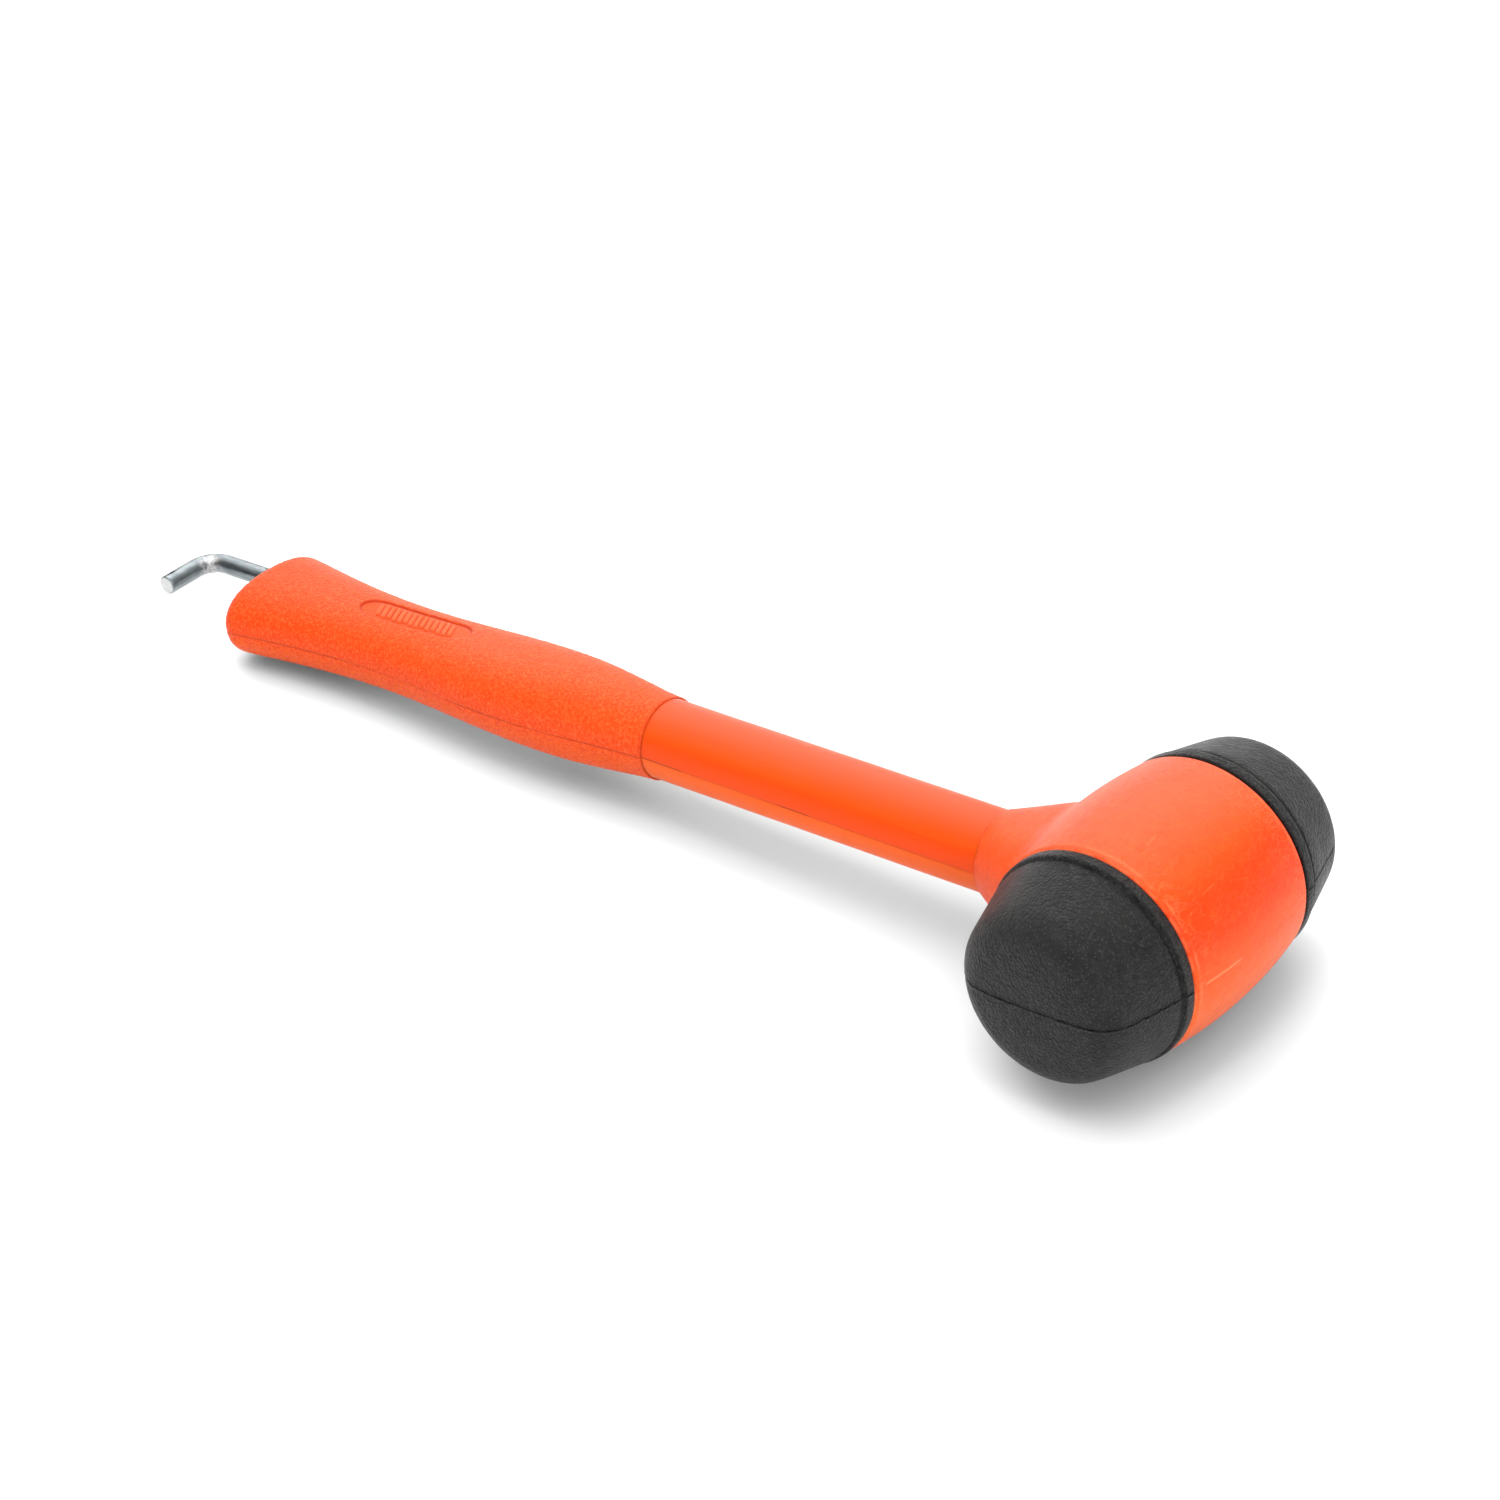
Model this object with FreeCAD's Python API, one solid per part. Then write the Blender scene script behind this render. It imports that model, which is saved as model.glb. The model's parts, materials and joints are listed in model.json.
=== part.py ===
import FreeCAD, Part
import math
import os

os.makedirs("parts", exist_ok=True)

# ---------------------------------------------------------------------------
# Rubber-faced dead blow mallet with a steel peg hook in its butt.
#
# Construction frame, used for all the modelling below: origin at the centre of
# the head, x along the handle towards the butt, y along the barrel towards the
# front cap, z up.  At the end everything is turned half a turn about z, tipped
# so that the crown of the barrel and the underside of the butt both rest on
# z = 0, and moved so that the origin is the bottom centre of the bounding box.
# Final frame: +X runs from the butt to the head, -Y is the front cap, +Z is up.
# All lengths in millimetres.
# ---------------------------------------------------------------------------

# --- barrel of the head -----------------------------------------------------
BARREL_HALF = 25.6          # half length of the orange barrel
BARREL_END_R = 30.0         # radius at its two rims
BARREL_CROWN_R = 32.25      # radius at mid length, a gentle crown
RIM_ROUND = 2.0             # rounding of the rims beside the rubber
CANISTER_BORE_R = 22.05
CANISTER_BORE_HALF = 21.2
SPIGOT_BORE_R = 24.0
BEAD_GROOVE_R = 25.2
BEAD_GROOVE = (22.0, 23.6)  # the cap's retaining bead snaps in here

# --- rubber striking caps ---------------------------------------------------
SEAT_GAP = 0.05
SPIGOT_R = 23.95
SPIGOT_IN = 21.35
BEAD_R = 25.1
BEAD = (22.15, 23.45)
FLANGE_R = 29.95
FLANGE_END = 28.9           # outer end of the flange ring
GROOVE_R = 28.85            # shallow groove behind the flange
FACE_FLAT_R = 9.0           # flat middle of the striking face
FACE_Y = 53.5               # striking face, from the head's centre
CAP_SIDE = [(30.35, 29.05), (31.4, 28.85), (34.1, 28.15), (37.5, 27.22), (41.0, 26.27),
            (44.0, 25.44), (46.0, 24.85), (47.3, 24.36), (48.3, 23.79), (49.35, 23.0),
            (50.18, 22.2), (50.9, 21.38), (51.49, 20.5), (52.1, 19.3), (52.55, 18.0),
            (52.85, 16.3), (53.08, 14.3), (53.3, 11.9)]

# --- shot canister ----------------------------------------------------------
CAN_R = 22.0
CAN_WALL = 2.5
CAN_HALF = 21.1
DISC_T = 3.0
DISC_GAP = 0.02
SHOT_R = 3.5
SHOT_PITCH = 7.04
SHOT_LAYERS = 4
SHOT_LEVEL = 10.0          # the heap fills the canister up to this height
SHOT_TRAVEL = 5.0           # each way from the middle

# --- neck of the head -------------------------------------------------------
NECK_X = 47.7               # mouth of the neck
NECK_R = 12.1
NECK_ROOT_X = 18.0
NECK_FLARE_Y = 0.56         # growth of half width per millimetre
NECK_FLARE_Z = 0.245        # growth of half thickness per millimetre

# --- handle -----------------------------------------------------------------
SHAFT_R = 11.5
SHAFT_X = (34.0, 205.0)
CORE_R = 8.0
CORE_WALL = 1.5
CORE_X = (23.4, 272.0)
SOCKET_R = 12.4
SOCKET_END = 33.4
PIN_X = 28.4
PIN_R = 2.0
PIN_LEN = 22.0

# --- grip: station, half width, half thickness ------------------------------
GRIP_X0 = 162.3
GRIP_END = 322.6
GRIP = [(162.3, 12.15, 12.10), (168.0, 12.45, 12.40), (175.0, 13.20, 12.90),
        (183.0, 14.15, 13.30), (191.0, 15.10, 13.45), (199.0, 15.90, 13.35),
        (207.0, 16.40, 13.10), (215.0, 16.60, 12.75), (224.0, 16.45, 12.35),
        (233.0, 16.00, 11.95), (243.0, 15.35, 11.65), (253.0, 14.80, 11.45),
        (263.0, 14.60, 11.35), (272.0, 14.80, 11.35), (281.0, 15.35, 11.45),
        (290.0, 16.25, 11.60), (298.0, 17.25, 11.80), (305.0, 18.30, 12.00),
        (311.0, 19.30, 12.15), (316.0, 20.10, 12.20), (322.6, 21.10, 12.25)]
BUTT_ROUND_X = 5.6          # length over which the butt end is rounded
BUTT_ROUND_Y = 6.0
BUTT_ROUND_Z = 4.6
GRIP_POWER = 2.35           # roundness of the grip's section in the middle

# --- peg hook ---------------------------------------------------------------
ROD_R = 3.0
ROD_Y = -10.3
HOOK_ARM_X = 358.0
HOOK_TIP_Y = 9.0
HOOK_BEND_R = 7.0           # centre line radius of the visible bend
ANCHOR_BEND_R = 9.0         # centre line radius of the anchor bend in the butt
ANCHOR_X = 291.0
ANCHOR_Y = 6.0
TIP_CHAMFER = 0.35

# --- clamp halves that hold the hook in the butt ----------------------------
CLAMP = [(285.5, 12.2, 8.3), (294.0, 14.6, 8.5), (302.0, 16.3, 8.6), (316.5, 17.4, 8.6)]
CLAMP_GAP = 0.05
SCREWS = [(303.5, 7.0), (311.5, -1.5)]
SCREW_R = 1.5
SCREW_HEAD_R = 2.8

V = FreeCAD.Vector


# ------------------------------ helpers -------------------------------------
def slopes(xs, ys):
    """Slopes of a smooth curve through the stations that never overshoots."""
    n = len(xs)
    d = [(ys[i + 1] - ys[i]) / (xs[i + 1] - xs[i]) for i in range(n - 1)]
    m = [0.0] * n
    m[0], m[-1] = d[0], d[-1]
    for i in range(1, n - 1):
        if d[i - 1] * d[i] > 0:
            h0, h1 = xs[i] - xs[i - 1], xs[i + 1] - xs[i]
            w1, w2 = 2 * h1 + h0, h1 + 2 * h0
            m[i] = (w1 + w2) / (w1 / d[i - 1] + w2 / d[i])
    return m


def smooth(table, column, x):
    xs = [r[0] for r in table]
    ys = [r[column] for r in table]
    m = slopes(xs, ys)
    x = min(max(x, xs[0]), xs[-1])
    i = 0
    while i < len(xs) - 2 and x > xs[i + 1]:
        i += 1
    h = xs[i + 1] - xs[i]
    t = (x - xs[i]) / h
    return ((2 * t ** 3 - 3 * t ** 2 + 1) * ys[i] + (t ** 3 - 2 * t ** 2 + t) * h * m[i]
            + (-2 * t ** 3 + 3 * t ** 2) * ys[i + 1] + (t ** 3 - t ** 2) * h * m[i + 1])


def oval(x, w, t, power, count=40):
    """Closed smooth section in the plane of constant x."""
    pts = []
    for i in range(count):
        a = 2 * math.pi * i / count
        c, s = math.cos(a), math.sin(a)
        pts.append(V(x, math.copysign(w * abs(c) ** (2 / power), c),
                     math.copysign(t * abs(s) ** (2 / power), s)))
    curve = Part.BSplineCurve()
    curve.interpolate(pts, PeriodicFlag=True)
    return Part.Wire([curve.toShape()])


def solid_of(shape):
    if shape.ShapeType == "Solid":
        return shape
    if shape.Solids:
        return shape.Solids[0] if len(shape.Solids) == 1 else shape
    return Part.makeSolid(shape)


def rod_x(x0, x1, r, y=0.0, z=0.0):
    return Part.makeCylinder(r, x1 - x0, V(x0, y, z), V(1, 0, 0))


def rod_y(y0, y1, r, x=0.0, z=0.0):
    return Part.makeCylinder(r, y1 - y0, V(x, y0, z), V(0, 1, 0))


def rod_z(z0, z1, r, x=0.0, y=0.0):
    return Part.makeCylinder(r, z1 - z0, V(x, y, z0), V(0, 0, 1))


def turned_about_y(points_or_edges):
    """Solid of revolution about the y axis from edges in the x-y half plane."""
    face = Part.Face(Part.Wire(points_or_edges))
    return solid_of(face.revolve(V(0, 0, 0), V(0, 1, 0), 360))


def line(a, b):
    return Part.makeLine(V(a[0], a[1], 0), V(b[0], b[1], 0))


def polyline(points):
    return [line(a, b) for a, b in zip(points[:-1], points[1:])]


# ------------------------------ head shell ----------------------------------
def crown(y):
    return BARREL_CROWN_R - (BARREL_CROWN_R - BARREL_END_R) * (y / BARREL_HALF) ** 2


end_y = BARREL_HALF - RIM_ROUND
outer = Part.BSplineCurve()
outer.interpolate([V(crown(end_y * k / 12.0), end_y * k / 12.0, 0) for k in range(-12, 13)])
rim = crown(end_y)
k = math.sqrt(0.5)
barrel = turned_about_y([
    line((0, -BARREL_HALF), (rim - RIM_ROUND, -BARREL_HALF)),
    Part.Arc(V(rim - RIM_ROUND, -BARREL_HALF, 0),
             V(rim - RIM_ROUND + RIM_ROUND * k, -end_y - RIM_ROUND * k, 0),
             V(rim, -end_y, 0)).toShape(),
    outer.toShape(),
    Part.Arc(V(rim, end_y, 0),
             V(rim - RIM_ROUND + RIM_ROUND * k, end_y + RIM_ROUND * k, 0),
             V(rim - RIM_ROUND, BARREL_HALF, 0)).toShape(),
    line((rim - RIM_ROUND, BARREL_HALF), (0, BARREL_HALF)),
    line((0, BARREL_HALF), (0, -BARREL_HALF))])

neck_sections = []
for i in range(7):
    s = (NECK_X - NECK_ROOT_X) * i / 6.0
    neck_sections.append(oval(NECK_X - s, min(NECK_R + NECK_FLARE_Y * s, 24.9 + 0.02 * s),
                              NECK_R + NECK_FLARE_Z * s, 2.0 + 0.55 * min(1.0, s / 14.0)))
neck = solid_of(Part.makeLoft(neck_sections, True, False))
head = barrel.fuse(neck)

bore = turned_about_y(polyline([
    (0, -BARREL_HALF - 1), (SPIGOT_BORE_R, -BARREL_HALF - 1), (SPIGOT_BORE_R, -BEAD_GROOVE[1]),
    (BEAD_GROOVE_R, -BEAD_GROOVE[1]), (BEAD_GROOVE_R, -BEAD_GROOVE[0]),
    (SPIGOT_BORE_R, -BEAD_GROOVE[0]), (SPIGOT_BORE_R, -CANISTER_BORE_HALF),
    (CANISTER_BORE_R, -CANISTER_BORE_HALF), (CANISTER_BORE_R, CANISTER_BORE_HALF),
    (SPIGOT_BORE_R, CANISTER_BORE_HALF), (SPIGOT_BORE_R, BEAD_GROOVE[0]),
    (BEAD_GROOVE_R, BEAD_GROOVE[0]), (BEAD_GROOVE_R, BEAD_GROOVE[1]),
    (SPIGOT_BORE_R, BEAD_GROOVE[1]), (SPIGOT_BORE_R, BARREL_HALF + 1),
    (0, BARREL_HALF + 1), (0, -BARREL_HALF - 1)]))
head = head.cut(bore)
head = head.cut(rod_x(5, SOCKET_END + 0.05, SOCKET_R + 0.05))
head = head.cut(rod_x(30, SHAFT_X[0], CORE_R + 0.05))
head_shell = head.cut(rod_x(SHAFT_X[0] - 0.05, NECK_X + 5, SHAFT_R + 0.05)).removeSplitter()

# ------------------------------ rubber caps ---------------------------------
back = BARREL_HALF + SEAT_GAP
side = Part.BSplineCurve()
side.interpolate([V(r, y, 0) for y, r in CAP_SIDE] + [V(FACE_FLAT_R, FACE_Y, 0)])
cap_edges = polyline([
    (0, FACE_Y), (0, SPIGOT_IN), (SPIGOT_R - 0.6, SPIGOT_IN), (SPIGOT_R, SPIGOT_IN + 0.5),
    (SPIGOT_R, BEAD[0]), (BEAD_R, BEAD[0] + 0.35), (BEAD_R, BEAD[1] - 0.35), (SPIGOT_R, BEAD[1]),
    (SPIGOT_R, back), (FLANGE_R - 0.6, back), (FLANGE_R, back + 0.6),
    (FLANGE_R, FLANGE_END - 0.8), (FLANGE_R - 0.35, FLANGE_END - 0.2),
    (GROOVE_R + 0.2, FLANGE_END), (GROOVE_R, FLANGE_END + 0.4), (GROOVE_R, CAP_SIDE[0][0] - 0.4),
    (CAP_SIDE[0][1], CAP_SIDE[0][0])])
cap_edges += [side.toShape(), line((FACE_FLAT_R, FACE_Y), (0, FACE_Y))]
front_striking_cap = turned_about_y(cap_edges)
rear_striking_cap = front_striking_cap.mirror(V(0, 0, 0), V(0, 1, 0))

# ------------------------------ canister and shot ---------------------------
canister_tube = rod_y(-CAN_HALF, CAN_HALF, CAN_R).cut(rod_y(-CAN_HALF - 1, CAN_HALF + 1, CAN_R - CAN_WALL))
disc = rod_y(CAN_HALF - DISC_T, CAN_HALF, CAN_R - CAN_WALL - DISC_GAP)
disc = disc.fuse(rod_y(CAN_HALF - DISC_T - 0.6, CAN_HALF - DISC_T, 12.0)).removeSplitter()
front_canister_disc = disc
rear_canister_disc = disc.mirror(V(0, 0, 0), V(0, 1, 0))

shot_limit = CAN_R - CAN_WALL - SHOT_R - 0.35
layer_step = SHOT_PITCH * math.sqrt(2.0 / 3.0)
balls = []
for layer in range(SHOT_LAYERS):
    cy = (layer - (SHOT_LAYERS - 1) / 2.0) * layer_step
    ox = SHOT_PITCH / 2.0 if layer % 2 else 0.0
    oz = SHOT_PITCH / (2.0 * math.sqrt(3.0)) if layer % 2 else 0.0
    for row in range(-6, 7):
        z = row * SHOT_PITCH * math.sqrt(3.0) / 2.0 + oz - 0.6
        if z > SHOT_LEVEL - SHOT_R:
            continue
        for col in range(-6, 7):
            x = (col + 0.5 * (row % 2)) * SHOT_PITCH + ox
            if math.hypot(x, z) <= shot_limit:
                balls.append(Part.makeSphere(SHOT_R, V(x, cy, z)))
shot_charge = Part.makeCompound(balls)

# ------------------------------ core of the handle --------------------------
core_socket = rod_x(8, SOCKET_END, SOCKET_R).cut(rod_y(-40, 40, CAN_R + 0.02))
core_socket = core_socket.cut(rod_x(0, SOCKET_END + 1, CORE_R + 0.02))
core_socket = core_socket.cut(rod_y(-40, 40, PIN_R + 0.02, PIN_X))
core_socket = solid_of(core_socket.removeSplitter())
handle_core_tube = rod_x(CORE_X[0], CORE_X[1], CORE_R).cut(rod_x(CORE_X[0] - 1, CORE_X[1] + 1, CORE_R - CORE_WALL))
handle_core_tube = handle_core_tube.cut(rod_y(-40, 40, PIN_R + 0.02, PIN_X))
core_cross_pin = rod_y(-PIN_LEN / 2.0, PIN_LEN / 2.0, PIN_R, PIN_X)
core_cross_pin = core_cross_pin.makeChamfer(0.4, [e for e in core_cross_pin.Edges if e.Closed])
core_end_plug = rod_x(CORE_X[1] - 9, CORE_X[1] + 0.04, CORE_R - CORE_WALL - 0.02).fuse(
    rod_x(CORE_X[1] + 0.04, CORE_X[1] + 2.0, CORE_R)).removeSplitter()
shaft_sleeve = rod_x(SHAFT_X[0], SHAFT_X[1], SHAFT_R).cut(rod_x(SHAFT_X[0] - 1, SHAFT_X[1] + 1, CORE_R + 0.02))

# ------------------------------ grip ----------------------------------------
def grip_power(x):
    ramp = min(1.0, max(0.0, (x - GRIP_X0) / 30.0))
    return 2.0 + (GRIP_POWER - 2.0) * ramp


stations = [GRIP_X0 + (GRIP_END - BUTT_ROUND_X - GRIP_X0) * i / 25.0 for i in range(26)]
grip_sections = [oval(x, smooth(GRIP, 1, x), smooth(GRIP, 2, x), grip_power(x)) for x in stations]
for i in range(1, 7):
    a = math.pi / 2.0 * i / 6.0
    x = GRIP_END - BUTT_ROUND_X * (1 - math.sin(a))
    grip_sections.append(oval(x, smooth(GRIP, 1, x) - BUTT_ROUND_Y * (1 - math.cos(a)),
                              smooth(GRIP, 2, x) - BUTT_ROUND_Z * (1 - math.cos(a)),
                              GRIP_POWER))
grip_body = solid_of(Part.makeLoft(grip_sections, True, False))
clamp_space = solid_of(Part.makeLoft(
    [oval(x, w + CLAMP_GAP, t + CLAMP_GAP, 2.6) for x, w, t in
     [(CLAMP[0][0] - CLAMP_GAP,) + CLAMP[0][1:]] + CLAMP[1:-1] + [(CLAMP[-1][0] + CLAMP_GAP,) + CLAMP[-1][1:]]],
    True, True))

# ------------------------------ peg hook ------------------------------------
def bent_rod(r, tip_y):
    q = math.sqrt(0.5)
    ax, ar, br = ANCHOR_X, ANCHOR_BEND_R, HOOK_BEND_R
    path = Part.Wire([
        Part.makeLine(V(ax, ANCHOR_Y, 0), V(ax, ROD_Y + ar, 0)),
        Part.Arc(V(ax, ROD_Y + ar, 0), V(ax + ar * (1 - q), ROD_Y + ar * (1 - q), 0),
                 V(ax + ar, ROD_Y, 0)).toShape(),
        Part.makeLine(V(ax + ar, ROD_Y, 0), V(HOOK_ARM_X - br, ROD_Y, 0)),
        Part.Arc(V(HOOK_ARM_X - br, ROD_Y, 0),
                 V(HOOK_ARM_X - br * (1 - q), ROD_Y + br * (1 - q), 0),
                 V(HOOK_ARM_X, ROD_Y + br, 0)).toShape(),
        Part.makeLine(V(HOOK_ARM_X, ROD_Y + br, 0), V(HOOK_ARM_X, tip_y, 0))])
    ring = Part.Wire([Part.makeCircle(r, V(ax, ANCHOR_Y, 0), V(0, -1, 0))])
    return solid_of(path.makePipeShell([ring], True, False))


peg_hook = bent_rod(ROD_R, HOOK_TIP_Y)
tip_edges = [e for e in peg_hook.Edges
             if e.Closed and abs(e.BoundBox.YMin - HOOK_TIP_Y) < 1e-4 and abs(e.BoundBox.YMax - HOOK_TIP_Y) < 1e-4]
peg_hook = peg_hook.makeChamfer(TIP_CHAMFER, tip_edges)
rod_channel = bent_rod(ROD_R + 0.03, HOOK_TIP_Y)

grip = grip_body.cut(rod_x(GRIP_X0 - 1, SHAFT_X[1] + 0.1, SHAFT_R + 0.05))
grip = grip.cut(rod_x(SHAFT_X[1], CORE_X[1] + 2.1, CORE_R + 0.05))
grip = grip.cut(clamp_space)
grip_sleeve = grip.cut(rod_x(CLAMP[-1][0] - 2, GRIP_END + 5, ROD_R + 0.03, ROD_Y)).removeSplitter()

# ------------------------------ clamp halves --------------------------------
clamp = solid_of(Part.makeLoft([oval(x, w, t, 2.6) for x, w, t in CLAMP], True, True))
clamp = clamp.cut(rod_channel)
clamp = clamp.cut(Part.makeBox(3, 8, 8, V(ANCHOR_X - 1.5, ANCHOR_Y - 1, -4)).common(
    rod_y(ANCHOR_Y - 0.5, ANCHOR_Y + 0.05, ROD_R + 0.03, ANCHOR_X)))
screws = []
for sx, sy in SCREWS:
    screws.append(rod_z(-6.4, 5.6, SCREW_R, sx, sy).fuse(rod_z(5.6, 7.2, SCREW_HEAD_R, sx, sy)).removeSplitter())
    clamp = clamp.cut(rod_z(-6.45, 5.55, SCREW_R + 0.02, sx, sy))
    clamp = clamp.cut(rod_z(5.55, 20, SCREW_HEAD_R + 0.05, sx, sy))
butt_clamp_upper = solid_of(clamp.cut(Part.makeBox(60, 60, 30, V(275, -30, -29.98))))
butt_clamp_lower = solid_of(clamp.cut(Part.makeBox(60, 60, 30, V(275, -30, -0.02))))
butt_clamp_screws = Part.makeCompound(screws)

# ------------------------------ lying pose ----------------------------------
nodes = {
    "head_shell": head_shell,
    "front_striking_cap": front_striking_cap,
    "rear_striking_cap": rear_striking_cap,
    "canister_tube": canister_tube,
    "front_canister_disc": front_canister_disc,
    "rear_canister_disc": rear_canister_disc,
    "shot_charge": shot_charge,
    "core_socket": core_socket,
    "core_cross_pin": core_cross_pin,
    "handle_core_tube": handle_core_tube,
    "core_end_plug": core_end_plug,
    "shaft_sleeve": shaft_sleeve,
    "grip_sleeve": grip_sleeve,
    "butt_clamp_upper": butt_clamp_upper,
    "butt_clamp_lower": butt_clamp_lower,
    "butt_clamp_screws": butt_clamp_screws,
    "peg_hook": peg_hook,
}

# Tip angle at which the grip's underside is level with the barrel's crown.
def under_side(tip):
    low = 1e9
    steps = 400
    for i in range(steps + 1):
        x = stations[0] + (GRIP_END - stations[0]) * i / steps
        t = smooth(GRIP, 2, x)
        if x > GRIP_END - BUTT_ROUND_X:
            a = math.asin(1 - (GRIP_END - x) / BUTT_ROUND_X)
            t -= BUTT_ROUND_Z * (1 - math.cos(a))
        low = min(low, -x * math.sin(tip) - t * math.cos(tip))
    return low


lo, hi = math.radians(1.0), math.radians(8.0)
for _ in range(60):
    mid = 0.5 * (lo + hi)
    if under_side(mid) > -BARREL_CROWN_R:
        lo = mid
    else:
        hi = mid
TIP = 0.5 * (lo + hi)

turn = FreeCAD.Placement(V(0, 0, 0), FreeCAD.Rotation(V(0, 0, 1), 180)).multiply(
    FreeCAD.Placement(V(0, 0, 0), FreeCAD.Rotation(V(0, 1, 0), math.degrees(TIP))))


def placed(shape, placement):
    return shape.transformed(placement.toMatrix(), True)


grip_box = placed(grip_body, turn).optimalBoundingBox(False)
hook_box = placed(peg_hook, turn).optimalBoundingBox(False)
x_low, x_high = hook_box.XMin, BARREL_CROWN_R
offset = V(-(x_low + x_high) / 2.0, 0, BARREL_CROWN_R)
move = FreeCAD.Placement(offset, FreeCAD.Rotation()).multiply(turn)

for name, shape in nodes.items():
    final = placed(shape, move)
    final.exportStep("parts/%s.step" % name)
    bb = final.optimalBoundingBox(False)
    print("%-22s valid %s solids %3d vol %10.1f  box %s" % (
        name, final.isValid(), len(final.Solids), final.Volume,
        [round(v, 2) for v in (bb.XMin, bb.YMin, bb.ZMin, bb.XMax, bb.YMax, bb.ZMax)]))
print("tip angle deg", math.degrees(TIP), "offset", offset)
p = lambda x, y, z: [round(c, 4) for c in move.multVec(V(x, y, z))]
print("head centre", p(0, 0, 0))
print("front face", p(0, FACE_Y, 0), "rear face", p(0, -FACE_Y, 0))
print("hook arm from", p(HOOK_ARM_X, ROD_Y + HOOK_BEND_R, 0), "to", p(HOOK_ARM_X, HOOK_TIP_Y, 0))
print("throat corner butt", p(GRIP_END, 0, 0), "arm inside", p(HOOK_ARM_X - ROD_R, 0, 0))
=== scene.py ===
import json
import math

import bpy
import numpy as np
from mathutils import Matrix, Vector


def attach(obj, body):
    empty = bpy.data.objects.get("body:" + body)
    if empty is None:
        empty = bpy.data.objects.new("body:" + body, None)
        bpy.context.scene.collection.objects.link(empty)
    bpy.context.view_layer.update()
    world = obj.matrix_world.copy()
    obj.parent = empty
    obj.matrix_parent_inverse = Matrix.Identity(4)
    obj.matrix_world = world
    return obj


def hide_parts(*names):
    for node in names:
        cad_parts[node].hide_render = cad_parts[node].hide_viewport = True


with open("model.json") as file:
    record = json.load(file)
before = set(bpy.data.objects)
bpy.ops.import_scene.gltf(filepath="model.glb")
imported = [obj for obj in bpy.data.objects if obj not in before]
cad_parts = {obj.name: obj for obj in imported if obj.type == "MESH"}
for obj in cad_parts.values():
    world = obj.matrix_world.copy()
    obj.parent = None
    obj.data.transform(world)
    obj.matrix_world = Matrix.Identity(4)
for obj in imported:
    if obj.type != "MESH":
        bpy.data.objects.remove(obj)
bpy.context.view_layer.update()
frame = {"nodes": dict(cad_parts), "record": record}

# ---------------------------------------------------------------------------
# Where the mallet lies.  The looks are built in the mallet's own straight
# frame (origin head centre, x towards the butt, y towards the front cap, z up,
# millimetres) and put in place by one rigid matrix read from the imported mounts.
# ---------------------------------------------------------------------------
mounts = {m["name"]: m for m in frame["record"]["mounts"]}
head_c = (Vector(mounts["front_face"]["pos_m"]) + Vector(mounts["rear_face"]["pos_m"])) / 2
arm_c = Vector(mounts["hook_arm"]["pos_m"])
along = arm_c - head_c
along.y = 0.0
ax_x = along.normalized()
ax_y = Vector((0, -1, 0))
ax_z = ax_x.cross(ax_y).normalized()
PLACE = Matrix((
    (ax_x.x, ax_y.x, ax_z.x, head_c.x),
    (ax_x.y, ax_y.y, ax_z.y, head_c.y),
    (ax_x.z, ax_y.z, ax_z.z, head_c.z),
    (0, 0, 0, 1)))
MM = 0.001
ROT = np.array([[PLACE[i][j] for j in range(3)] for i in range(3)])
HEAD = np.array([PLACE[i][3] for i in range(3)])
BACK = PLACE.inverted()

# ------------------------------ dimensions ----------------------------------
BARREL_HALF, BARREL_END_R, BARREL_CROWN_R, RIM_ROUND = 25.6, 30.0, 32.25, 2.0
CANISTER_BORE_R, CANISTER_BORE_HALF = 22.05, 21.2
SPIGOT_BORE_R, BEAD_GROOVE_R, BEAD_GROOVE = 24.0, 25.2, (22.0, 23.6)
NECK_X, NECK_R, NECK_ROOT_X = 47.7, 12.1, 18.0
NECK_FLARE_Y, NECK_FLARE_Z = 0.56, 0.245
SHAFT_R, SHAFT_X = 11.5, (34.0, 205.0)
CORE_R = 8.0
SOCKET_R, SOCKET_END = 12.4, 33.4
CAP_SIDE = [(30.35, 29.05), (31.4, 28.85), (34.1, 28.15), (37.5, 27.22), (41.0, 26.27),
            (44.0, 25.44), (46.0, 24.85), (47.3, 24.36), (48.3, 23.79), (49.35, 23.0),
            (50.18, 22.2), (50.9, 21.38), (51.49, 20.5), (52.1, 19.3), (52.55, 18.0),
            (52.85, 16.3), (53.08, 14.3), (53.3, 11.9), (53.5, 9.0)]
FACE_Y = 53.5
GRIP_X0, GRIP_END = 162.3, 322.6
GRIP = [(162.3, 12.15, 12.10), (168.0, 12.45, 12.40), (175.0, 13.20, 12.90),
        (183.0, 14.15, 13.30), (191.0, 15.10, 13.45), (199.0, 15.90, 13.35),
        (207.0, 16.40, 13.10), (215.0, 16.60, 12.75), (224.0, 16.45, 12.35),
        (233.0, 16.00, 11.95), (243.0, 15.35, 11.65), (253.0, 14.80, 11.45),
        (263.0, 14.60, 11.35), (272.0, 14.80, 11.35), (281.0, 15.35, 11.45),
        (290.0, 16.25, 11.60), (298.0, 17.25, 11.80), (305.0, 18.30, 12.00),
        (311.0, 19.30, 12.15), (316.0, 20.10, 12.20), (322.6, 21.10, 12.25)]
BUTT_ROUND_X, BUTT_ROUND_Y, BUTT_ROUND_Z, GRIP_POWER = 5.6, 6.0, 4.6, 2.35
ROD_R, ROD_Y, HOOK_ARM_X, HOOK_TIP_Y, HOOK_BEND_R = 3.0, -10.3, 358.0, 9.0, 7.0
ANCHOR_BEND_R, ANCHOR_X, ANCHOR_Y = 9.0, 291.0, 6.0

A = lambda v: np.asarray(v, float)


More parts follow.
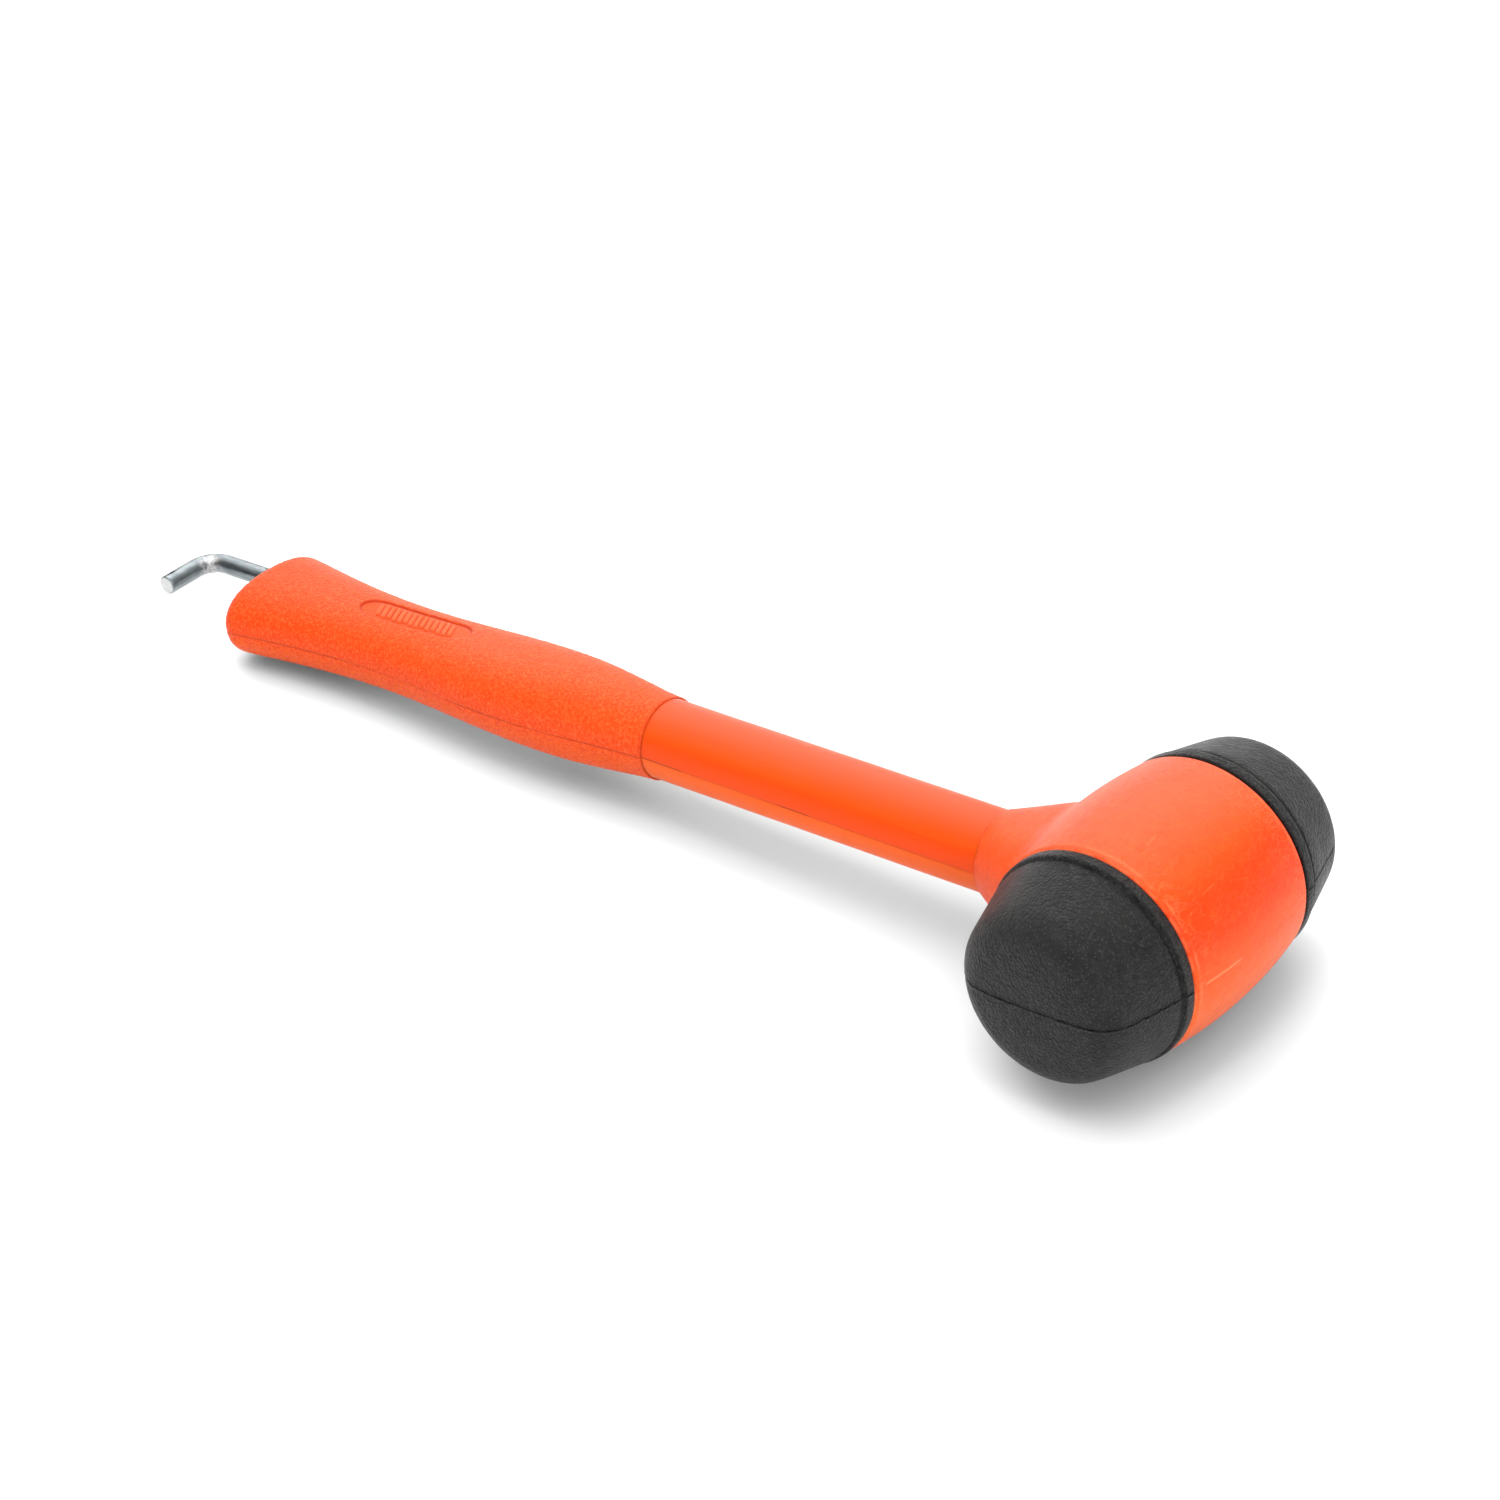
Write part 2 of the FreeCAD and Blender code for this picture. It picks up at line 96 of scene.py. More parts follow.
# ------------------------------ small numeric kit ---------------------------
def hash01(ix, iy, iz, seed=0):
    h = (ix.astype(np.int64) * 374761393 + iy.astype(np.int64) * 668265263
         + iz.astype(np.int64) * 2147483647 + seed * 144665) & 0xFFFFFFFF
    h = ((h ^ (h >> 13)) * 1274126177) & 0xFFFFFFFF
    h = ((h ^ (h >> 15)) * 2246822519) & 0xFFFFFFFF
    return ((h ^ (h >> 16)) & 0xFFFFFF) / float(0xFFFFFF)


def vnoise(p, seed=0):
    """Smooth value noise, about -1 to 1, one unit per cell."""
    b = np.floor(p)
    f = p - b
    u = f * f * f * (f * (f * 6 - 15) + 10)
    b = b.astype(np.int64)
    out = 0.0
    for dx in (0, 1):
        wx = u[:, 0] if dx else 1 - u[:, 0]
        for dy in (0, 1):
            wy = u[:, 1] if dy else 1 - u[:, 1]
            for dz in (0, 1):
                wz = u[:, 2] if dz else 1 - u[:, 2]
                out = out + wx * wy * wz * hash01(b[:, 0] + dx, b[:, 1] + dy, b[:, 2] + dz, seed)
    return out * 2 - 1


def fbm(p, octaves=4, seed=0, gain=0.5):
    out, amp, tot = 0.0, 1.0, 0.0
    for k in range(octaves):
        out = out + amp * vnoise(p * (2.03 ** k) + 17.3 * k, seed + k)
        tot += amp
        amp *= gain
    return out / tot


def cells(p, seed=0):
    """Distances to the nearest and second nearest cell points, one unit per cell."""
    b = np.floor(p).astype(np.int64)
    d1 = np.full(len(p), 9.0)
    d2 = np.full(len(p), 9.0)
    for dx in (-1, 0, 1):
        for dy in (-1, 0, 1):
            for dz in (-1, 0, 1):
                c = b + (dx, dy, dz)
                q = np.stack([hash01(c[:, 0], c[:, 1], c[:, 2], seed + s) for s in (1, 2, 3)], 1) + c
                d = np.sqrt(((q - p) ** 2).sum(1))
                nearer = d < d1
                d2 = np.where(nearer, d1, np.minimum(d2, d))
                d1 = np.where(nearer, d, d1)
    return d1, d2


def smoothstep(a, b, x):
    t = np.clip((x - a) / (b - a), 0, 1)
    return t * t * (3 - 2 * t)


def pchip(xs, ys, x):
    xs, ys, x = A(xs), A(ys), A(x)
    h = np.diff(xs)
    d = np.diff(ys) / h
    m = np.zeros(len(xs))
    m[0], m[-1] = d[0], d[-1]
    for i in range(1, len(xs) - 1):
        if d[i - 1] * d[i] > 0:
            w1, w2 = 2 * h[i] + h[i - 1], h[i] + 2 * h[i - 1]
            m[i] = (w1 + w2) / (w1 / d[i - 1] + w2 / d[i])
    i = np.clip(np.searchsorted(xs, x, side="right") - 1, 0, len(xs) - 2)
    x = np.clip(x, xs[0], xs[-1])
    t = (x - xs[i]) / h[i]
    return ((2 * t ** 3 - 3 * t ** 2 + 1) * ys[i] + (t ** 3 - 2 * t ** 2 + t) * h[i] * m[i]
            + (-2 * t ** 3 + 3 * t ** 2) * ys[i + 1] + (t ** 3 - t ** 2) * h[i] * m[i + 1])


# ------------------------------ mesh kit ------------------------------------
def make_piece(name, verts, faces, material, nodes, body="mallet", marks=None):
    """A mesh from points in the mallet's frame (mm), in place, riding and replacing.
    marks: per-vertex values from 0 to 1 that the material reads (painted shade in creases, painted highlight on ridges,
    rims and edges)."""
    me = bpy.data.meshes.new(name)
    v = (A(verts) * MM) @ ROT.T + HEAD
    faces = [tuple(int(i) for i in f) for f in faces]
    me.from_pydata([tuple(p) for p in v], [], faces)
    for key, val in (marks or {}).items():
        at = me.attributes.new(key, "FLOAT", "POINT")
        at.data.foreach_set("value", np.clip(A(val), 0, 1).astype(np.float32))
    me.validate()
    me.update()
    me.polygons.foreach_set("use_smooth", [True] * len(me.polygons))
    ob = bpy.data.objects.new(name, me)
    bpy.context.scene.collection.objects.link(ob)
    me.materials.append(material)
    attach(ob, body)
    if nodes:
        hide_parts(*nodes)
    return ob


def grid_normals(verts, faces):
    """Area-weighted vertex normals of a quad mesh."""
    v = A(verts)
    f = A(faces).astype(int)
    n = np.cross(v[f[:, 2]] - v[f[:, 0]], v[f[:, 3]] - v[f[:, 1]])
    out = np.zeros_like(v)
    for k in range(4):
        np.add.at(out, f[:, k], n)
    return out / np.maximum(np.linalg.norm(out, axis=1)[:, None], 1e-12)


def stretched(n, a):
    """n+1 values from -1 to 1, crowded round 0."""
    t = np.linspace(-1, 1, n + 1)
    return np.sinh(a * t) / math.sinh(a) if a > 0 else t


def disc_map(u, v):
    """Square to disc, keeping the lines u=0 and v=0 straight: radius and angle."""
    u, v = np.broadcast_arrays(A(u), A(v))
    with np.errstate(divide="ignore", invalid="ignore"):
        wide = np.abs(u) >= np.abs(v)
        r = np.where(wide, u, v)
        ang = np.where(wide, (math.pi / 4) * np.where(u == 0, 0, v / np.where(u == 0, 1, u)),
                       math.pi / 2 - (math.pi / 4) * (u / np.where(v == 0, 1, v)))
    neg = r < 0
    return np.abs(r), np.where(neg, ang + math.pi, ang)


class Loop:
    """Angles of a ring that closes with a quad disc, crowded where the two seams run."""

    def __init__(self, nu, nv, au=0.0, av=2.6):
        self.us, self.vs = stretched(nu, au), stretched(nv, av)
        idx = [(nu, j) for j in range(nv)] + [(i, nv) for i in range(nu, 0, -1)] \
            + [(0, j) for j in range(nv, 0, -1)] + [(i, 0) for i in range(nu)]
        self.idx = idx
        r, a = disc_map(A([self.us[i] for i, j in idx]), A([self.vs[j] for i, j in idx]))
        self.ang = np.unwrap(a)
        self.n = len(idx)
        self.nu, self.nv = nu, nv
        U, W = np.meshgrid(self.us, self.vs, indexing="ij")
        self.R, self.T = disc_map(U, W)


class Skin:
    """Rings joined by quads, with quad discs at the ends."""

    def __init__(self, loop):
        self.loop, self.v, self.f, self.last, self.count = loop, [], [], None, 0

    def ring(self, pts):
        start = self.count
        self.v.append(A(pts))
        self.count += len(pts)
        ids = np.arange(start, start + self.loop.n)
        if self.last is not None:
            a, b = self.last, ids
            self.f.append(np.stack([a, np.roll(a, -1), np.roll(b, -1), b], 1))
        self.last = ids
        return ids

    def disc(self, ring_ids, fun, flip=False):
        """fun(radius fraction, angle) gives points; the disc's rim is the given ring."""
        L = self.loop
        grid = -np.ones((L.nu + 1, L.nv + 1), int)
        for k, (i, j) in enumerate(L.idx):
            grid[i, j] = ring_ids[k]
        inner = [(i, j) for i in range(1, L.nu) for j in range(1, L.nv)]
        ii, jj = A([p[0] for p in inner]).astype(int), A([p[1] for p in inner]).astype(int)
        pts = fun(L.R[ii, jj], L.T[ii, jj])
        start = self.count
        grid[ii, jj] = start + np.arange(len(inner))
        self.v.append(A(pts))
        self.count += len(inner)
        a, b, c, d = grid[:-1, :-1].ravel(), grid[1:, :-1].ravel(), grid[1:, 1:].ravel(), grid[:-1, 1:].ravel()
        q = np.stack([a, b, c, d], 1)
        self.f.append(q[:, ::-1] if flip else q)
        self.last = None

    def done(self):
        return np.concatenate(self.v), np.concatenate(self.f)


def outward(v, f):
    """Turns all faces so that the closed mesh has positive volume."""
    a, b, c, d = (v[f[:, k]] for k in range(4))
    vol = (np.cross(a, b) * c).sum() + (np.cross(a, c) * d).sum()
    return f if vol > 0 else f[:, ::-1]


def surface_net(f, xs, ys, zs):
    """Quad surface of f = 0 on a grid with any spacing."""
    ins = f < 0
    nx, ny, nz = f.shape
    tot = np.zeros((nx - 1, ny - 1, nz - 1, 3))
    cnt = np.zeros((nx - 1, ny - 1, nz - 1))
    crossings = []
    for ax in range(3):
        lo = [slice(None)] * 3
        hi = [slice(None)] * 3
        lo[ax], hi[ax] = slice(0, -1), slice(1, None)
        f0, f1 = f[tuple(lo)], f[tuple(hi)]
        cr = ins[tuple(lo)] != ins[tuple(hi)]
        crossings.append(cr)
        t = np.where(cr, f0 / np.where(cr, f0 - f1, 1), 0)
        g = [xs, ys, zs]
        P = np.zeros(cr.shape + (3,))
        for k in range(3):
            shape = [1, 1, 1]
            shape[k] = -1
            if k == ax:
                P[..., k] = g[k][:-1].reshape(shape) + t * np.diff(g[k]).reshape(shape)
            else:
                P[..., k] = g[k].reshape(shape)
        P *= cr[..., None]
        o = [k for k in range(3) if k != ax]
        for da in (0, 1):
            for db in (0, 1):
                sl = [slice(None)] * 3
                sl[o[0]] = slice(da, P.shape[o[0]] - 1 + da)
                sl[o[1]] = slice(db, P.shape[o[1]] - 1 + db)
                tot += P[tuple(sl)]
                cnt += cr[tuple(sl)]
    act = cnt > 0
    idx = -np.ones(act.shape, int)
    idx[act] = np.arange(act.sum())
    verts = tot[act] / cnt[act][:, None]
    faces = []
    for ax in range(3):
        cr = crossings[ax]
        o = [k for k in range(3) if k != ax]
        sl = [slice(None)] * 3
        sl[o[0]], sl[o[1]] = slice(1, -1), slice(1, -1)
        w = np.argwhere(cr[tuple(sl)])
        w[:, o[0]] += 1
        w[:, o[1]] += 1
        low = ins[tuple(w.T)]
        q = []
        for da, db in ((-1, -1), (0, -1), (0, 0), (-1, 0)):
            c = w.copy()
            c[:, o[0]] += da
            c[:, o[1]] += db
            q.append(idx[tuple(c.T)])
        q = np.stack(q, 1)
        flip = low if ax != 1 else ~low
        q[~flip] = q[~flip][:, ::-1]
        faces.append(q)
    return verts, np.concatenate(faces)


# ------------------------------ materials -----------------------------------
class Tree:
    """Short calls for a node tree."""

    def __init__(self, mat):
        mat.use_nodes = True
        self.t = mat.node_tree
        self.t.nodes.clear()
        self.out = self.t.nodes.new("ShaderNodeOutputMaterial")

    def n(self, kind, **kw):
        node = self.t.nodes.new(kind)
        for k, v in kw.items():
            if k.startswith("in_"):
                key = k[3:].replace("_", " ")
                node.inputs[int(key) if key.isdigit() else key].default_value = v
            else:
                setattr(node, k, v)
        return node

    def link(self, a, b):
        self.t.links.new(a, b)

    def math(self, op, a, b=None, c=None, clamp=False):
        m = self.n("ShaderNodeMath", operation=op, use_clamp=clamp)
        for i, v in enumerate((a, b, c)):
            if v is None:
                continue
            if isinstance(v, (int, float)):
                m.inputs[i].default_value = v
            else:
                self.link(v, m.inputs[i])
        return m.outputs[0]

    def coords(self):
        """Position in the mallet's own frame, in metres."""
        m = self.n("ShaderNodeMapping")
        m.inputs["Rotation"].default_value = BACK.to_euler("XYZ")
        m.inputs["Location"].default_value = BACK.translation
        self.link(self.n("ShaderNodeTexCoord").outputs["Object"], m.inputs["Vector"])
        return m.outputs[0]

    def mark(self, name):
        return self.n("ShaderNodeAttribute", attribute_name=name).outputs["Fac"]

    def mapped(self, vec, scale=(1, 1, 1), loc=(0, 0, 0)):
        m = self.n("ShaderNodeMapping")
        m.inputs["Scale"].default_value = scale
        m.inputs["Location"].default_value = loc
        self.link(vec, m.inputs["Vector"])
        return m.outputs[0]

    def noise(self, vec, scale, detail=3.0, rough=0.5, dist=0.0):
        n = self.n("ShaderNodeTexNoise")
        n.inputs["Scale"].default_value = scale
        n.inputs["Detail"].default_value = detail
        n.inputs["Roughness"].default_value = rough
        n.inputs["Distortion"].default_value = dist
        self.link(vec, n.inputs["Vector"])
        return n.outputs["Fac"]

    def voronoi(self, vec, scale, feature="F1", out="Distance", rand=1.0):
        n = self.n("ShaderNodeTexVoronoi", feature=feature)
        n.inputs["Scale"].default_value = scale
        n.inputs["Randomness"].default_value = rand
        self.link(vec, n.inputs["Vector"])
        return n.outputs[out]

    def ramp(self, fac, stops, interp="LINEAR"):
        r = self.n("ShaderNodeValToRGB")
        r.color_ramp.interpolation = interp
        els = r.color_ramp.elements
        while len(els) > 1:
            els.remove(els[-1])
        els[0].position, els[0].color = stops[0][0], tuple(stops[0][1]) + ((1,) if len(stops[0][1]) == 3 else ())
        for p, c in stops[1:]:
            e = els.new(p)
            e.color = tuple(c) + ((1,) if len(c) == 3 else ())
        self.link(fac, r.inputs["Fac"])
        return r.outputs["Color"]

    def remap(self, x, a, b, c, d):
        m = self.n("ShaderNodeMapRange")
        for i, v in zip((1, 2, 3, 4), (a, b, c, d)):
            m.inputs[i].default_value = v
        self.link(x, m.inputs[0])
        return m.outputs[0]

    def mix(self, fac, a, b, mode="MIX"):
        m = self.n("ShaderNodeMix", data_type="RGBA", blend_type=mode)
        if isinstance(fac, (int, float)):
            m.inputs["Factor"].default_value = fac
        else:
            self.link(fac, m.inputs["Factor"])
        for sock, v in ((m.inputs[6], a), (m.inputs[7], b)):
            if isinstance(v, (tuple, list)):
                sock.default_value = tuple(v) + ((1,) if len(v) == 3 else ())
            else:
                self.link(v, sock)
        return m.outputs[2]

    def bump(self, height, strength, distance, normal=None):
        b = self.n("ShaderNodeBump")
        b.inputs["Strength"].default_value = strength
        b.inputs["Distance"].default_value = distance
        self.link(height, b.inputs["Height"])
        if normal is not None:
            self.link(normal, b.inputs["Normal"])
        return b.outputs[0]

    def surface(self, **kw):
        p = self.n("ShaderNodeBsdfPrincipled")
        for k, v in kw.items():
            sock = p.inputs[k]
            if isinstance(v, (int, float)):
                sock.default_value = v
            elif isinstance(v, (tuple, list)):
                sock.default_value = tuple(v) + ((1,) if len(v) == 3 and sock.type == "RGBA" else ())
            else:
                self.link(v, sock)
        self.link(p.outputs[0], self.out.inputs["Surface"])
        return p


def new_mat(name):
    m = bpy.data.materials.new(name)
    return m, Tree(m)


ORANGE = (0.82, 0.0745, 0.0045)
GRIP_ORANGE = (0.80, 0.0725, 0.0048)


def shade(col, k, lift=0.0):
    return tuple(min(1.0, x * k + lift) for x in col)


def orange_head_mat():
    m, t = new_mat("orange_head")
    c = t.coords()
    big = t.noise(c, 60, 3, 0.55)
    col = t.mix(t.remap(big, 0.3, 0.7, 0.0, 1.0), (0.81, 0.0675, 0.0052), (0.83, 0.0745, 0.0072))
    # leathery mould texture: wandering fine wrinkles, strongest next to the rims
    w1 = t.noise(t.mapped(c, (1, 0.62, 1)), 620, 5, 0.66, 0.9)
    w2 = t.voronoi(c, 950, "SMOOTH_F1")
    w3 = t.math("ABSOLUTE", t.math("SUBTRACT", t.noise(t.mapped(c, (1, 0.8, 1.3)), 190, 4, 0.6, 1.4), 0.5))
    crease = t.remap(w3, 0.0, 0.026, 1.0, 0.0)
    sep = t.n("ShaderNodeSeparateXYZ")
    t.link(c, sep.inputs[0])
    rim = t.remap(t.math("ABSOLUTE", sep.outputs[1]), 0.012, 0.0235, 0.25, 1.0)
    crease = t.math("MULTIPLY", crease, rim)
    # painted light and shade, not a difference in the plastic: a painted highlight makes the crown paler, a painted
    # dark reflection band deepens the middle, painted floor bounce makes it yellower below; the dark band and the
    # underside only on the side away from the handle
    away = t.remap(sep.outputs[0], 0.012, 0.026, 1.0, 0.0)
    crown = t.remap(sep.outputs[2], 0.0235, 0.0290, 0.0, 0.75)
    col = t.mix(crown, col, (0.83, 0.092, 0.030))
    # painted shade: the darker, deeper band round the middle
    painted_dark_band = t.math("MINIMUM", t.remap(sep.outputs[2], 0.0245, 0.0185, 0.0, 0.88),
                  t.remap(sep.outputs[2], 0.0030, 0.0100, 0.0, 0.88))
    col = t.mix(t.math("MULTIPLY", painted_dark_band, away), col, (0.80, 0.036, 0.0005))
    # painted floor bounce: yellower below
    low = t.remap(sep.outputs[2], 0.003, -0.009, 0.0, 0.80)
    col = t.mix(t.math("MULTIPLY", low, away), col, (0.72, 0.118, 0.017))
    # the wrinkles next to the rims are tinted lighter: real mould wrinkles with a painted sheen on them
    col = t.mix(t.math("MULTIPLY", crease, 0.50), col, (0.93, 0.165, 0.045))
    col = t.mix(t.remap(w1, 0.50, 0.68, 0.0, 0.45), col, (0.88, 0.105, 0.014))
    col = t.mix(t.remap(w1, 0.50, 0.34, 0.0, 0.45), col, shade(ORANGE, 0.78))
    # a few long hairline scratches
    sc = t.noise(t.mapped(c, (3.0, 0.07, 3.0), (0.3, 0.1, 0.2)), 260, 2, 0.5)
    hair = t.remap(sc, 0.735, 0.75, 0.0, 1.0)
    col = t.mix(t.math("MULTIPLY", hair, 0.5), col, (0.90, 0.16, 0.04))
    h = t.math("ADD", t.math("MULTIPLY", w1, 1.0), t.math("MULTIPLY", w2, 0.30))
    h = t.math("SUBTRACT", h, t.math("MULTIPLY", crease, 0.8))
    h = t.math("SUBTRACT", h, t.math("MULTIPLY", hair, 0.25))
    # painted shade in the rim grooves, under the crest ridge and at the neck's mouth
    col = t.mix(t.math("MULTIPLY", t.mark("crease"), 0.75), col, shade(ORANGE, 0.55))
    # painted highlight along the ridges and just inside the rims
    col = t.mix(t.math("MULTIPLY", t.mark("painted_highlight"), 0.80), col, (0.95, 0.26, 0.10))
    nrm = t.bump(h, 0.55, 0.00030)
    rough = t.remap(t.noise(c, 420, 4, 0.6), 0.25, 0.75, 0.33, 0.47)
    t.surface(**{"Base Color": col, "Roughness": rough, "Normal": nrm, "Specular IOR Level": 0.16})
    return m


def orange_shaft_mat():
    m, t = new_mat("orange_shaft")
    c = t.coords()
    big = t.noise(t.mapped(c, (0.25, 1, 1)), 70, 3, 0.5)
    col = t.mix(big, shade(ORANGE, 0.95), (0.82, 0.076, 0.0060))
    streak = t.noise(t.mapped(c, (0.045, 1, 1)), 900, 3, 0.6)
    col = t.mix(t.remap(streak, 0.52, 0.68, 0.0, 0.45), col, (0.87, 0.112, 0.014))
    scuff = t.remap(t.noise(t.mapped(c, (0.5, 1, 1)), 330, 5, 0.72, 0.6), 0.66, 0.74, 0.0, 1.0)
    col = t.mix(t.math("MULTIPLY", scuff, 0.3), col, (0.88, 0.15, 0.03))
    sep = t.n("ShaderNodeSeparateXYZ")
    t.link(c, sep.inputs[0])
    # painted shade: a darker, deeper band below the upper side
    col = t.mix(t.remap(sep.outputs[2], 0.0070, 0.0050, 0.0, 0.8), col, (0.82, 0.0575, 0.0015))
    # painted highlight: paler and pinker towards the top
    col = t.mix(t.remap(sep.outputs[2], 0.0070, 0.0112, 0.0, 0.9), col, (0.83, 0.0790, 0.021))
    # painted floor bounce, not a difference in the plastic: yellower below the parting line
    low = t.remap(sep.outputs[2], 0.0002, -0.0006, 0.0, 1.0)
    col = t.mix(t.math("MULTIPLY", low, 0.9), col, (0.84, 0.112, 0.0060))
    # painted shade along the parting line and at the steps at each end
    col = t.mix(t.math("MULTIPLY", t.mark("crease"), 0.85), col, shade(ORANGE, 0.45))
    h = t.math("ADD", t.noise(t.mapped(c, (0.12, 1, 1)), 500, 3, 0.5), t.math("MULTIPLY", streak, 0.5))
    nrm = t.bump(h, 0.08, 0.00008)
    rough = t.remap(t.noise(c, 300, 3, 0.6), 0.25, 0.75, 0.33, 0.43)
    t.surface(**{"Base Color": col, "Roughness": rough, "Normal": nrm, "Specular IOR Level": 0.13})
    return m


def orange_grip_mat():
    m, t = new_mat("orange_grip")
    c = t.coords()
    big = t.noise(c, 55, 4, 0.55)
    warp = t.n("ShaderNodeVectorMath", operation="ADD")
    wob = t.n("ShaderNodeTexNoise")
    wob.inputs["Scale"].default_value = 700
    wob.inputs["Detail"].default_value = 1.0
    t.link(c, wob.inputs["Vector"])
    sm = t.n("ShaderNodeVectorMath", operation="SCALE")
    sm.inputs["Scale"].default_value = 0.0005
    t.link(wob.outputs["Color"], sm.inputs[0])
    t.link(c, warp.inputs[0])
    t.link(sm.outputs[0], warp.inputs[1])
    p = warp.outputs[0]
    pebble = t.voronoi(p, 1150, "F1")
    fine = t.noise(p, 1150, 3, 0.65, 0.4)
    col = t.mix(t.remap(big, 0.3, 0.7, 0, 1), shade(GRIP_ORANGE, 0.97), (0.81, 0.0740, 0.0065))
    # painted shade in the creases between the pebbles, painted highlight on the raised fine grain
    sep = t.n("ShaderNodeSeparateXYZ")
    t.link(c, sep.inputs[0])
    # darker, deeper orange towards the butt
    col = t.mix(t.remap(sep.outputs[0], 0.255, 0.295, 0.0, 0.9), col, (0.80, 0.0560, 0.0025))
    # painted shade: a darker, deeper band below the top
    col = t.mix(t.remap(sep.outputs[2], 0.0075, 0.0025, 0.0, 0.8), col, (0.80, 0.0560, 0.0003))
    # painted floor bounce: yellower below the parting line
    low = t.remap(sep.outputs[2], 0.001, -0.0030, 0.0, 0.90)
    col = t.mix(low, col, (0.79, 0.094, 0.0003))
    quiet = t.math("SUBTRACT", 1.0, t.math("MULTIPLY", t.mark("panel"), 0.7))
    col = t.mix(t.math("MULTIPLY", t.remap(pebble, 0.36, 0.70, 0.0, 0.90), quiet), col, (0.735, 0.0500, 0.0030))
    col = t.mix(t.math("MULTIPLY", t.remap(fine, 0.48, 0.62, 0.0, 0.70), quiet), col, (0.86, 0.122, 0.026))
    # painted shade in the creases, along the panel's wall and the parting line
    col = t.mix(t.math("MULTIPLY", t.mark("crease"), 0.92), col, (0.42, 0.024, 0.0015))
    # painted highlight on the rib tops in the panel
    col = t.mix(t.math("MULTIPLY", t.mark("painted_highlight"), 0.45), col, (0.88, 0.145, 0.036))
    h = t.math("SUBTRACT", t.math("MULTIPLY", fine, 0.8), t.math("MULTIPLY", pebble, 0.9))
    nrm = t.bump(t.math("MULTIPLY", h, quiet), 0.42, 0.00036)
    rough = t.remap(t.noise(c, 500, 4, 0.6), 0.25, 0.75, 0.40, 0.52)
    t.surface(**{"Base Color": col, "Roughness": rough, "Normal": nrm, "Specular IOR Level": 0.14})
    return m


def rubber_mat():
    m, t = new_mat("black_rubber")
    c = t.coords()
    cloud = t.noise(c, 95, 5, 0.62, 0.4)
    mid = t.noise(c, 430, 4, 0.65, 0.3)
    speck = t.voronoi(c, 1150, "F1")
    grit = t.noise(c, 1150, 3, 0.75)
    col = t.mix(t.remap(cloud, 0.32, 0.70, 0, 1), (0.0026, 0.0028, 0.0028), (0.0074, 0.0072, 0.0068))
    col = t.mix(t.remap(mid, 0.50, 0.70, 0.0, 0.60), col, (0.020, 0.0195, 0.0185))
    col = t.mix(t.remap(speck, 0.10, 0.30, 0.62, 0.0), col, (0.065, 0.065, 0.063))
    # rubbed sulphur bloom in wandering streaks
    sep = t.n("ShaderNodeSeparateXYZ")
    t.link(c, sep.inputs[0])
    strk = t.noise(t.mapped(c, (1.0, 0.45, 1.0)), 420, 4, 0.7, 0.5)
    col = t.mix(t.remap(strk, 0.58, 0.72, 0.0, 0.16), col, (0.060, 0.059, 0.056))
    # painted shade in the parting-line crevice, its nicks, the flange groove and the seat
    col = t.mix(t.math("MULTIPLY", t.mark("crease"), 0.93), col, (0.0012, 0.0012, 0.0012))
    # painted highlight on the seam's lip, the flange edge and the face's corner
    col = t.mix(t.math("MULTIPLY", t.mark("painted_highlight"), 0.5), col, (0.034, 0.034, 0.033))
    h = t.math("ADD", t.math("MULTIPLY", grit, 1.2), t.math("MULTIPLY", speck, -0.7))
    h = t.math("ADD", h, t.math("MULTIPLY", mid, 0.9))
    nrm = t.bump(h, 0.95, 0.00058)
    rough = t.remap(t.noise(c, 260, 5, 0.6), 0.25, 0.75, 0.31, 0.47)
    t.surface(**{"Base Color": col, "Roughness": rough, "Normal": nrm, "Specular IOR Level": 0.24})
    return m


